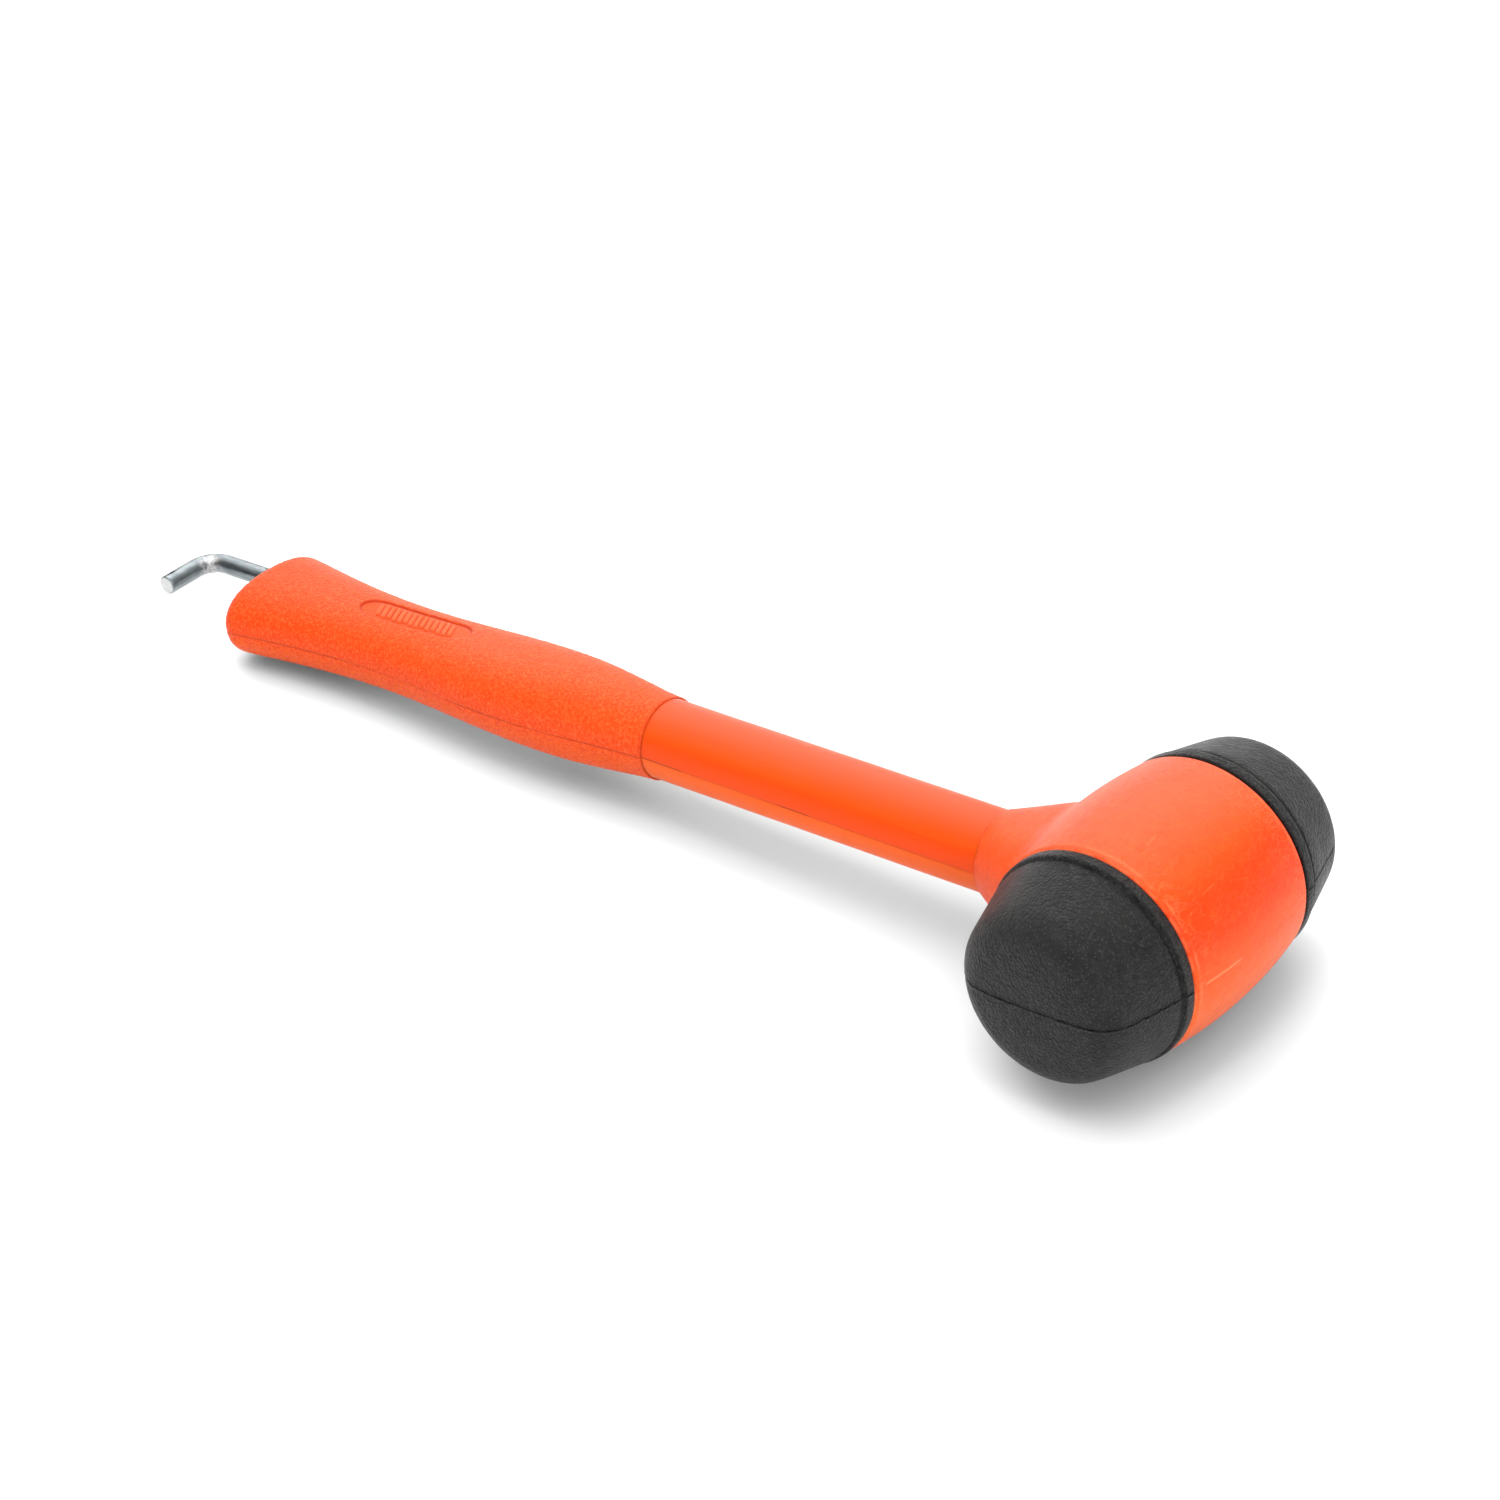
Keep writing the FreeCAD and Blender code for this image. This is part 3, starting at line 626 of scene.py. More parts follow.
def zinc_mat():
    m, t = new_mat("zinc_rod")
    c = t.coords()
    along_x = t.noise(t.mapped(c, (0.03, 1, 1)), 1500, 4, 0.65)
    along_y = t.noise(t.mapped(c, (1, 0.03, 1)), 1500, 4, 0.65)
    sep = t.n("ShaderNodeSeparateXYZ")
    t.link(c, sep.inputs[0])
    arm = t.remap(sep.outputs[0], 0.3525, 0.3545, 0, 1)
    fm = t.n("ShaderNodeMix", data_type="FLOAT")
    t.link(arm, fm.inputs[0]); t.link(along_x, fm.inputs[2]); t.link(along_y, fm.inputs[3])
    lines = fm.outputs[0]
    cloud = t.noise(c, 260, 5, 0.65)
    col = t.mix(t.remap(cloud, 0.3, 0.7, 0, 1), (0.205, 0.235, 0.25), (0.315, 0.345, 0.36))
    col = t.mix(t.remap(lines, 0.38, 0.60, 0.45, 0.0), col, (0.10, 0.115, 0.125))
    # painted reflection of the floor: paler below the rod's axis
    painted_floor_reflection = t.remap(sep.outputs[2], -0.0003, -0.0020, 0.0, 0.75)
    col = t.mix(painted_floor_reflection, col, (0.42, 0.45, 0.46))
    face = t.remap(sep.outputs[1], 0.00880, 0.00893, 0.0, 1.0)
    ex = t.math("SUBTRACT", sep.outputs[0], 0.358)
    er = t.math("SQRT", t.math("ADD", t.math("MULTIPLY", ex, ex), t.math("MULTIPLY", sep.outputs[2], sep.outputs[2])))
    mott = t.mix(t.remap(cloud, 0.35, 0.65, 0.0, 1.0), (0.46, 0.47, 0.47), (0.58, 0.585, 0.58))
    mott = t.mix(t.remap(er, 0.00235, 0.00262, 0.0, 0.7), mott, (0.24, 0.25, 0.255))
    col = t.mix(face, col, mott)
    # crushed plating on the inside of the bend
    dx = t.math("SUBTRACT", sep.outputs[0], 0.3535)
    dy = t.math("SUBTRACT", sep.outputs[1], -0.0058)
    near = t.math("SQRT", t.math("ADD", t.math("MULTIPLY", dx, dx), t.math("MULTIPLY", dy, dy)))
    crush = t.remap(near, 0.0020, 0.0042, 1.0, 0.0)
    rag = t.noise(c, 900, 4, 0.7, 0.8)
    col = t.mix(t.math("MULTIPLY", crush, t.remap(rag, 0.42, 0.58, 0.0, 0.85)), col, (0.66, 0.62, 0.61))
    h = t.math("ADD", lines, t.math("MULTIPLY", t.math("MULTIPLY", rag, crush), 6.0))
    nrm = t.bump(h, 0.35, 0.00009)
    rough = t.remap(t.math("ADD", t.math("MULTIPLY", cloud, 0.6), t.math("MULTIPLY", lines, 0.4)), 0.3, 0.7, 0.25, 0.36)
    t.surface(**{"Base Color": col, "Metallic": 1.0, "Roughness": rough, "Normal": nrm})
    return m


def steel_mat(name, base, lo, hi, scale=300):
    m, t = new_mat(name)
    c = t.coords()
    k = t.noise(c, scale, 4, 0.6)
    col = t.mix(k, tuple(x * 0.85 for x in base), base)
    t.surface(**{"Base Color": col, "Metallic": 1.0, "Roughness": t.remap(k, 0.3, 0.7, lo, hi),
                 "Normal": t.bump(t.noise(c, scale * 6, 3, 0.5), 0.1, 0.00005)})
    return m


def nylon_mat():
    m, t = new_mat("grey_nylon")
    c = t.coords()
    k = t.noise(c, 500, 4, 0.6)
    t.surface(**{"Base Color": t.mix(k, (0.02, 0.021, 0.022), (0.032, 0.033, 0.034)),
                 "Roughness": t.remap(k, 0.3, 0.7, 0.42, 0.6), "Normal": t.bump(k, 0.2, 0.0001)})
    return m


M_HEAD, M_SHAFT, M_GRIP = orange_head_mat(), orange_shaft_mat(), orange_grip_mat()
M_RUBBER, M_ZINC = rubber_mat(), zinc_mat()
M_STEEL = steel_mat("inner_steel", (0.50, 0.51, 0.53), 0.28, 0.45)
M_SHOT = steel_mat("steel_shot", (0.40, 0.41, 0.43), 0.2, 0.34, 700)
M_NYLON = nylon_mat()


# ------------------------------ head shell ----------------------------------
def crown(y):
    return BARREL_CROWN_R - (BARREL_CROWN_R - BARREL_END_R) * (y / BARREL_HALF) ** 2


def head_field(x, y, z):
    rho = np.sqrt(x * x + z * z)
    slope = -2 * (BARREL_CROWN_R - BARREL_END_R) * y / BARREL_HALF ** 2
    a = (rho - crown(y)) / np.sqrt(1 + slope * slope) + RIM_ROUND
    b = np.abs(y) - BARREL_HALF + RIM_ROUND
    barrel = np.hypot(np.maximum(a, 0), np.maximum(b, 0)) + np.minimum(np.maximum(a, b), 0) - RIM_ROUND
    s = np.clip(NECK_X - x, 0, NECK_X - NECK_ROOT_X)
    w = np.minimum(NECK_R + NECK_FLARE_Y * s, 24.9 + 0.02 * s)
    t = NECK_R + NECK_FLARE_Z * s
    n = 2.0 + 0.55 * np.minimum(1.0, s / 14.0)
    g = ((np.abs(y) / w) ** n + (np.abs(z) / t) ** n) ** (1 / n)
    side = (g - 1) * np.minimum(w, t) * 0.93
    end = x - NECK_X
    r = 0.28
    neck = np.hypot(np.maximum(side + r, 0), np.maximum(end + r, 0)) + np.minimum(np.maximum(side, end) + r, 0) - r
    neck = np.maximum(neck, NECK_ROOT_X - x)
    k = 3.2
    h = np.clip(0.5 + 0.5 * (neck - barrel) / k, 0, 1)
    body = neck * (1 - h) + barrel * h - k * h * (1 - h)
    # the fillet only fills the corner, it never fattens the crown or the flare
    body = np.maximum(body, np.minimum(barrel, neck) - 1.1)
    return body


def head_hollow(x, y, z):
    rho = np.sqrt(x * x + z * z)
    ay = np.abs(y)
    bore = np.maximum(rho - CANISTER_BORE_R, ay - CANISTER_BORE_HALF - 1)
    bore = np.minimum(bore, np.maximum(rho - SPIGOT_BORE_R, CANISTER_BORE_HALF - ay))
    bore = np.minimum(bore, np.maximum(rho - BEAD_GROOVE_R, np.maximum(BEAD_GROOVE[0] - ay, ay - BEAD_GROOVE[1])))
    q = np.sqrt(y * y + z * z)
    bore = np.minimum(bore, np.maximum(q - SOCKET_R - 0.05, np.maximum(5 - x, x - SOCKET_END - 0.05)))
    bore = np.minimum(bore, np.maximum(q - SHAFT_R - 0.05, SHAFT_X[0] - 0.05 - x))
    return bore


def head_total(x, y, z):
    return np.maximum(head_field(x, y, z), -head_hollow(x, y, z))


def build_head():
    fine = np.concatenate([np.arange(-33.2, 46.4, 0.72), np.arange(46.5, 48.3, 0.2)])
    ys = np.concatenate([np.arange(-26.5, -22.6, 0.36), np.arange(-22.5, 22.5, 0.72), np.arange(22.55, 26.6, 0.36)])
    zs = np.concatenate([np.arange(-33.2, -1.5, 0.72), np.arange(-1.2, 1.25, 0.2), np.arange(1.55, 33.6, 0.72)])
    X, Y, Z = np.meshgrid(fine, ys, zs, indexing="ij")
    f = head_total(X, Y, Z)
    f = np.where(f == 0, 1e-6, f)
    v, q = surface_net(f, fine, ys, zs)
    e = 0.02
    for _ in range(4):
        x, y, z = v.T
        f0 = head_total(x, y, z)
        g = np.stack([head_total(x + e, y, z) - head_total(x - e, y, z),
                      head_total(x, y + e, z) - head_total(x, y - e, z),
                      head_total(x, y, z + e) - head_total(x, y, z - e)], 1) / (2 * e)
        step = -(f0 / np.maximum((g * g).sum(1), 0.2))[:, None] * g
        ln = np.linalg.norm(step, axis=1)
        step *= np.minimum(1, 0.45 / np.maximum(ln, 1e-9))[:, None]
        v = v + step * 0.9
    # faint moulding waviness of the skin, inside the crown
    nr = grid_normals(v, q)
    rho = np.hypot(v[:, 0], v[:, 2])
    skin = smoothstep(27.5, 29.5, rho) * (1 - smoothstep(22.5, 25.0, np.abs(v[:, 1])))
    d = -skin * (0.05 + 0.05 * fbm(v / 9.0, 3, 5))
    # low broken ridge where the mould halves met, on the crest away from the handle
    crest = (v[:, 0] < -20) * skin
    keep = smoothstep(-0.25, 0.25, vnoise(np.stack([v[:, 1] / 5.0, v[:, 1] * 0 + 0.4, v[:, 1] * 0], 1), 12))
    d = d + crest * keep * (0.07 * np.exp(-((v[:, 2] - 0.05) / 0.22) ** 2) - 0.05 * np.exp(-((v[:, 2] + 0.42) / 0.2) ** 2))
    # and down both flanks of the neck
    flank = smoothstep(34.5, 36.0, v[:, 0]) * (1 - smoothstep(47.2, 47.6, v[:, 0])) * (np.hypot(v[:, 1], v[:, 2]) > 11.9)
    d = d + flank * 0.05 * np.exp(-(v[:, 2] / 0.2) ** 2)
    # painted highlight along the crest ridge and the neck's flank ridges, painted shadow just below the crest ridge
    painted_highlight = crest * keep * np.exp(-((v[:, 2] - 0.05) / 0.34) ** 2) + 0.35 * flank * np.exp(-(v[:, 2] / 0.25) ** 2)
    crease = 0.5 * crest * np.exp(-((v[:, 2] + 0.42) / 0.22) ** 2)
    # shadowed groove at each rim and where the handle enters the neck
    crease = crease + smoothstep(25.2, 25.6, np.abs(v[:, 1])) * (rho > 24)
    crease = crease + 0.8 * smoothstep(47.45, 47.7, v[:, 0]) * (np.hypot(v[:, 1], v[:, 2]) < 12.4)
    # painted highlight: light lines just inside the near and far rims
    painted_highlight = painted_highlight + 0.5 * np.exp(-((np.abs(v[:, 1]) - 23.6) / 0.32) ** 2) * (rho > 28) \
        * smoothstep(-0.35, 0.35, fbm(v / (4.0, 1.0, 4.0), 2, 51))
    painted_highlight = painted_highlight + 0.55 * np.exp(-((np.abs(v[:, 1]) - 25.0) / 0.22) ** 2) * (rho > 28) \
        * smoothstep(-0.3, 0.3, fbm(v / 2.0, 2, 57))
    v = v + nr * d[:, None]
    return make_piece("head_shell_skin", v, q, M_HEAD, ["head_shell"],
                      marks={"crease": crease, "painted_highlight": painted_highlight})


# ------------------------------ rubber caps ---------------------------------
def seam_relief(s, path, seed):
    """Height of the mould's parting line at signed distance s: a fine step and crevice."""
    wob = 0.05 * vnoise(np.stack([path * 0.35, path * 0, path * 0 + seed], 1), seed)
    s = s - wob
    depth = 0.36 + 0.12 * vnoise(np.stack([path * 0.5, path * 0 + 3.1, path * 0], 1), seed + 4)
    h = 0.05 * (smoothstep(-0.15, 0.15, s) - 0.5) - depth * np.exp(-(s / 0.27) ** 2)
    h = h + 0.07 * np.exp(-((s - 0.50) / 0.22) ** 2) + 0.03 * np.exp(-((s + 0.54) / 0.25) ** 2)
    # masks: painted shade in the crevice, painted highlight on the lip beside it
    crevice_shade = np.exp(-(s / (0.37 + 0.10 * vnoise(np.stack([path * 0.9, path * 0 + 7.7, path * 0], 1), seed + 6))) ** 4)
    lip_highlight = np.exp(-((s + 0.62) / 0.26) ** 2)
    return h, crevice_shade, lip_highlight


def build_cap(name, node, sign, seed):
    L = Loop(56, 92, 0.0, 3.1)
    prof = A(CAP_SIDE)
    arc = np.concatenate([[0], np.cumsum(np.hypot(*np.diff(prof, axis=0).T))])
    def at(s):
        return pchip(arc, prof[:, 0], s), pchip(arc, prof[:, 1], s)
    edge = float(np.interp(16.9, prof[::-1, 1], arc[::-1]))
    side = [at(s) for s in np.linspace(edge, 0, 46)]
    rings = [(float(y), float(r)) for y, r in side]
    rings += [(30.1, 28.9), (29.85, 28.80), (29.6, 28.80), (29.35, 28.85), (29.2, 29.0), (29.08, 29.25),
              (28.98, 29.5), (28.8, 29.75), (28.5, 29.9), (28.1, 29.95), (27.6, 29.95), (27.1, 29.95), (26.6, 29.95),
              (26.2, 29.93), (25.95, 29.84), (25.77, 29.68), (25.68, 29.45), (25.65, 29.1), (25.65, 27.5),
              (25.65, 25.5), (25.65, 24.1), (25.6, 23.95), (24.5, 23.95), (23.5, 23.97), (23.3, 24.5), (23.1, 25.05),
              (22.8, 25.1), (22.5, 25.05), (22.3, 24.5), (22.1, 23.97), (21.85, 23.9), (21.6, 23.7), (21.4, 23.35),
              (21.35, 22.8), (21.35, 20.0), (21.35, 17.0)]
    S = Skin(L)
    first = None
    for y, r in rings:
        ids = S.ring(np.stack([r * np.cos(L.ang), np.full(L.n, y), r * np.sin(L.ang)], 1))
        first = ids if first is None else first
    last = S.last
    S.disc(last, lambda rr, a: np.stack([17.0 * rr * np.cos(a), np.full_like(rr, 21.35), 17.0 * rr * np.sin(a)], 1))
    r0 = rings[0][1]
    def face(rr, a):
        r = rr * r0
        ys = pchip(prof[::-1, 1], prof[::-1, 0], np.clip(r, 9.0, None))
        y = np.where(r > 9.0, ys, FACE_Y)
        return np.stack([r * np.cos(a), y, r * np.sin(a)], 1)
    S.disc(first, face, flip=True)
    v, f = S.done()
    f = outward(v, f)
    nr = grid_normals(v, f)
    rho = np.hypot(v[:, 0], v[:, 2])
    outer = (v[:, 1] > 25.7)
    # path length along the parting line: over the side and across the face
    path = np.where(v[:, 1] > 52, v[:, 0], np.sign(v[:, 0]) * (rho + (FACE_Y - v[:, 1])))
    rel, crevice_shade, lip_highlight = seam_relief(v[:, 2], path, seed)
    flat_keep = smoothstep(8.2, 9.5, rho) * 0.35 + 0.65
    nick, pit = 0.0, 0.0
    for px, dz, w, hgt in ((-9.5, 0.15, 0.8, 0.34), (6.0, -0.1, 0.55, 0.22), (-44.0, 0.1, 0.6, 0.45), (-31.5, 0.0, 0.7, 0.3),
                           (30.0, 0.0, 0.6, 0.3), (44.5, 0.1, 0.7, 0.4)):
        hole = np.exp(-((path - px) / w) ** 2 - ((v[:, 2] - dz) / 0.45) ** 2)
        nick, pit = nick - hgt * hole, np.maximum(pit, hole)
    wave = 0.05 * fbm(v / 7.0 + seed, 3, seed) - 0.05
    fall = smoothstep(25.75, 26.4, v[:, 1])
    d = (rel * flat_keep + nick - 0.06) * (np.abs(v[:, 2]) < 3) * np.exp(-(v[:, 2] / 1.6) ** 4) + wave
    # painted shade: the parting-line crevice and nicks, the flange groove and the seat
    crease = np.where(outer, np.maximum(crevice_shade, pit), 0) * fall
    groove = np.exp(-((v[:, 1] - 29.7) / 0.55) ** 2) * (rho < 29.4)
    seat = (v[:, 1] < 26.1) * 0.8
    crease = np.maximum(np.maximum(crease, 0.75 * groove), seat)
    # painted highlight on the flange's edge, on the face's corner (broken by noise) and on the seam's lip
    flange_highlight = np.exp(-((v[:, 1] - 28.35) / 0.45) ** 2) * (rho > 29.5) * 0.5
    corner = np.exp(-((rho - 22.9) / 1.5) ** 2) * smoothstep(47.0, 48.5, v[:, 1]) * smoothstep(-0.1, 0.5, fbm(v / 2.6, 3, seed + 20))
    painted_highlight = np.where(outer, lip_highlight * fall * 0.7, 0) + flange_highlight + 0.45 * corner
    v = v + nr * (np.where(outer, d, 0) * fall)[:, None]
    v[:, 1] *= sign
    if sign < 0:
        f = f[:, ::-1]
    return make_piece(name, v, f, M_RUBBER, [node], marks={"crease": crease, "painted_highlight": painted_highlight * (1 - crease)})


# ------------------------------ shaft ---------------------------------------
def build_shaft():
    L = Loop(30, 60, 0.0, 3.4)
    S = Skin(L)
    xs = np.concatenate([[SHAFT_X[0], SHAFT_X[0] + 0.3], np.linspace(36, 47, 8), np.linspace(47.6, 163, 150), np.linspace(166, 204.7, 16), [SHAFT_X[1]]])
    ids0 = None
    for x in xs:
        r = np.full(L.n, SHAFT_R - (0.25 if x in (xs[0], xs[-1]) else 0.0))
        z = r * np.sin(L.ang)
        ridge = np.exp(-(z / 0.17) ** 2)
        fade = 0.45 + 0.55 * (1 - float(smoothstep(95.0, 160.0, np.array(float(x)))))
        near = 1.0 if 48.8 < x < 163 else 0.0
        r = r - 0.10 * ridge * fade * near - 0.02
        r = r + 0.012 * math.sin(x * 0.21)
        p = np.stack([np.full(L.n, x), r * np.cos(L.ang), r * np.sin(L.ang)], 1)
        ids = S.ring(p)
        ids0 = ids if ids0 is None else ids0
    for x in np.linspace(SHAFT_X[1], SHAFT_X[0], 24):
        r = CORE_R + 0.02
        S.ring(np.stack([np.full(L.n, x), r * np.cos(L.ang), r * np.sin(L.ang)], 1))
    a, b = S.last, ids0
    S.f.append(np.stack([a, np.roll(a, -1), np.roll(b, -1), b], 1))
    v, f = S.done()
    f = outward(v, f)
    on = (np.hypot(v[:, 1], v[:, 2]) > 10) & (v[:, 0] > 48.8) & (v[:, 0] < 163)
    # painted shade along the parting line, stronger in patches
    line = np.exp(-(v[:, 2] / 0.26) ** 2) * (0.35 + 0.65 * smoothstep(-0.3, 0.4, vnoise(v / (9.0, 4.0, 4.0), 61)))
    # painted shade at the step into the neck and at the grip's edge
    root = 0.7 * smoothstep(48.3, 47.8, v[:, 0]) + 0.35 * smoothstep(161.95, 162.3, v[:, 0])
    return make_piece("shaft_skin", v, f, M_SHAFT, ["shaft_sleeve"],
                      marks={"crease": np.maximum(np.where(on, line, 0), root)})


# ------------------------------ grip ----------------------------------------
GT = A(GRIP)


def grip_section(x, ang):
    w, t = float(pchip(GT[:, 0], GT[:, 1], x)), float(pchip(GT[:, 0], GT[:, 2], x))
    n = 2.0 + (GRIP_POWER - 2.0) * min(1.0, max(0.0, (x - GRIP_X0) / 30.0))
    k = GRIP_END - x
    if k < BUTT_ROUND_X:
        a = math.asin(min(1.0, 1 - k / BUTT_ROUND_X))
        w -= BUTT_ROUND_Y * (1 - math.cos(a))
        t -= BUTT_ROUND_Z * (1 - math.cos(a))
        n = GRIP_POWER
    c, s = np.cos(ang), np.sin(ang)
    return w, t, n, np.stack([np.full(len(ang), x), w * np.sign(c) * np.abs(c) ** (2 / n),
                              t * np.sign(s) * np.abs(s) ** (2 / n)], 1)


def panel_relief(v):
    """Sunk pill-shaped panel on top of the grip with a low block of plain slanted ribs in it: depth below the skin in
    mm, then the marks for the painted shade in its creases, the painted highlight on its rib tops and its area."""
    x, y = v[:, 0] - 258.4, v[:, 1] + 0.45
    tilt = math.radians(-2.0)
    xr, yr = x * math.cos(tilt) - y * math.sin(tilt), x * math.sin(tilt) + y * math.cos(tilt)
    top = v[:, 2] > 4
    # pill with long tapering ends
    half, rad = 13.5, 4.6
    over = np.maximum(np.abs(xr) - half, 0)
    d = np.hypot(over * 0.60, yr) - rad
    inside = 1 - smoothstep(-0.16, 0.16, d)
    depth = 0.74 * inside
    # slanted ribs standing up to just below the skin
    pitch, lean = 2.15, 0.42
    u = (xr + lean * yr) / pitch
    cell = np.floor(u)
    f = np.abs(u - cell - 0.5) * pitch
    width = 0.60 + 0.16 * hash01(cell, cell * 0, cell * 0, 5)
    long_ = 3.25 - 0.5 * (hash01(cell, cell * 0, cell * 0, 8) > 0.6)
    in_row = np.abs(cell + 0.5) * pitch < 15.6
    rib = (1 - smoothstep(width - 0.12, width + 0.12, f)) * (1 - smoothstep(long_ - 0.15, long_ + 0.15, np.abs(yr))) * in_row
    # masks for painted shade along the panel's wall and round the ribs
    wall = np.exp(-((d + 0.10) / 0.30) ** 4)
    side = np.exp(-((f - width - 0.14) / 0.20) ** 2) * (np.abs(yr) < long_ + 0.2) * in_row
    ends = np.exp(-((np.abs(yr) - long_ - 0.14) / 0.17) ** 2) * (f < width + 0.2) * in_row
    crease = np.maximum(wall, 0.8 * np.maximum(side, ends)) * (inside > 0.02)
    return np.where(top, depth * (1 - 0.80 * rib), 0.0), crease * top, rib * top, inside * top


def build_grip():
    L = Loop(104, 84, 0.0, 3.0)
    S = Skin(L)
    xs = np.concatenate([np.linspace(GRIP_X0 + 0.35, 234, 190), np.linspace(234.23, 283, 214), np.linspace(283.4, GRIP_END - BUTT_ROUND_X, 86)])
    first = None
    start = [(GRIP_X0, -0.42), (GRIP_X0 + 0.04, -0.24), (GRIP_X0 + 0.16, -0.08)]
    for x, dr in start:
        w, t, n, p = grip_section(x, L.ang)
        p[:, 1] *= (w + dr) / w
        p[:, 2] *= (t + dr) / t
        ids = S.ring(p)
        first = ids if first is None else first
    for x in xs:
        S.ring(grip_section(float(x), L.ang)[3])
    for a in np.linspace(0, math.pi / 2, 15)[1:]:
        S.ring(grip_section(GRIP_END - BUTT_ROUND_X * (1 - math.sin(a)), L.ang)[3])
    w, t, n, _ = grip_section(GRIP_END, L.ang)
    last = S.last
    S.disc(last, lambda rr, a: np.stack([np.full_like(rr, GRIP_END),
                                         rr * w * np.sign(np.cos(a)) * np.abs(np.cos(a)) ** (2 / n),
                                         rr * t * np.sign(np.sin(a)) * np.abs(np.sin(a)) ** (2 / n)], 1))
    outer_count = S.count
    S.last = first
    for x, r in [(GRIP_X0, SHAFT_R + 0.05), (GRIP_X0 + 1.0, SHAFT_R + 0.05)] + [(x, SHAFT_R + 0.05) for x in np.linspace(168, 205, 8)]:
        S.ring(np.stack([np.full(L.n, x), r * np.cos(L.ang), r * np.sin(L.ang)], 1))
    S.disc(S.last, lambda rr, a: np.stack([np.full_like(rr, 205.0), (SHAFT_R + 0.05) * rr * np.cos(a),
                                           (SHAFT_R + 0.05) * rr * np.sin(a)], 1), flip=True)
    v, f = S.done()
    f = outward(v, f)
    nr = grid_normals(v, f)
    out = np.zeros(len(v), bool)
    out[:outer_count] = True
    # leather grain: soft pebbles with creases, real relief
    p = v / 1.15 + 0.35 * np.stack([vnoise(v / 2.2, 31), vnoise(v / 2.2, 32), vnoise(v / 2.2, 33)], 1)
    d1, d2 = cells(p, 7)
    pebble = np.clip((d2 - d1) * 1.7, 0, 1)
    grain = 0.105 * pebble + 0.05 * fbm(v / 0.9, 2, 41) - 0.135
    panel, wall, rib, area_ = panel_relief(v)
    quiet = 1 - 0.75 * (panel > 0.05)
    seam = -0.11 * np.exp(-(v[:, 2] / 0.17) ** 2) * (np.abs(v[:, 1]) > 8) * (1 - 0.45 * smoothstep(-0.2, 0.6, fbm(v / 22.0, 2, 77)))
    edge = smoothstep(GRIP_X0 + 0.2, GRIP_X0 + 1.2, v[:, 0])
    d = grain * quiet * edge + seam * edge - panel
    # painted shade along the parting line, stronger in patches, and where the grip starts
    split = np.exp(-(v[:, 2] / 0.24) ** 2) * (np.abs(v[:, 1]) > 8) * (0.35 + 0.65 * smoothstep(-0.35, 0.3, fbm(v / 14.0, 2, 78)))
    crease = np.maximum(np.maximum(wall, 0.8 * split), 0.3 * (1 - edge))
    # dimple where the rod comes out of the butt
    rr = np.hypot(v[:, 1] - ROD_Y, v[:, 2])
    end = smoothstep(GRIP_END - 1.5, GRIP_END - 0.2, v[:, 0])
    d = d - 0.55 * end * (1 - smoothstep(3.3, 4.4, rr))
    # painted shade round the edge of the dimple
    crease = np.where(out, np.maximum(crease, end * np.exp(-((rr - 3.3) / 0.5) ** 2)), 0)
    v = v + nr * np.where(out, d, 0)[:, None]
    return make_piece("grip_skin", v, f, M_GRIP, ["grip_sleeve"],
                      marks={"crease": crease, "painted_highlight": rib * out, "panel": area_ * out})


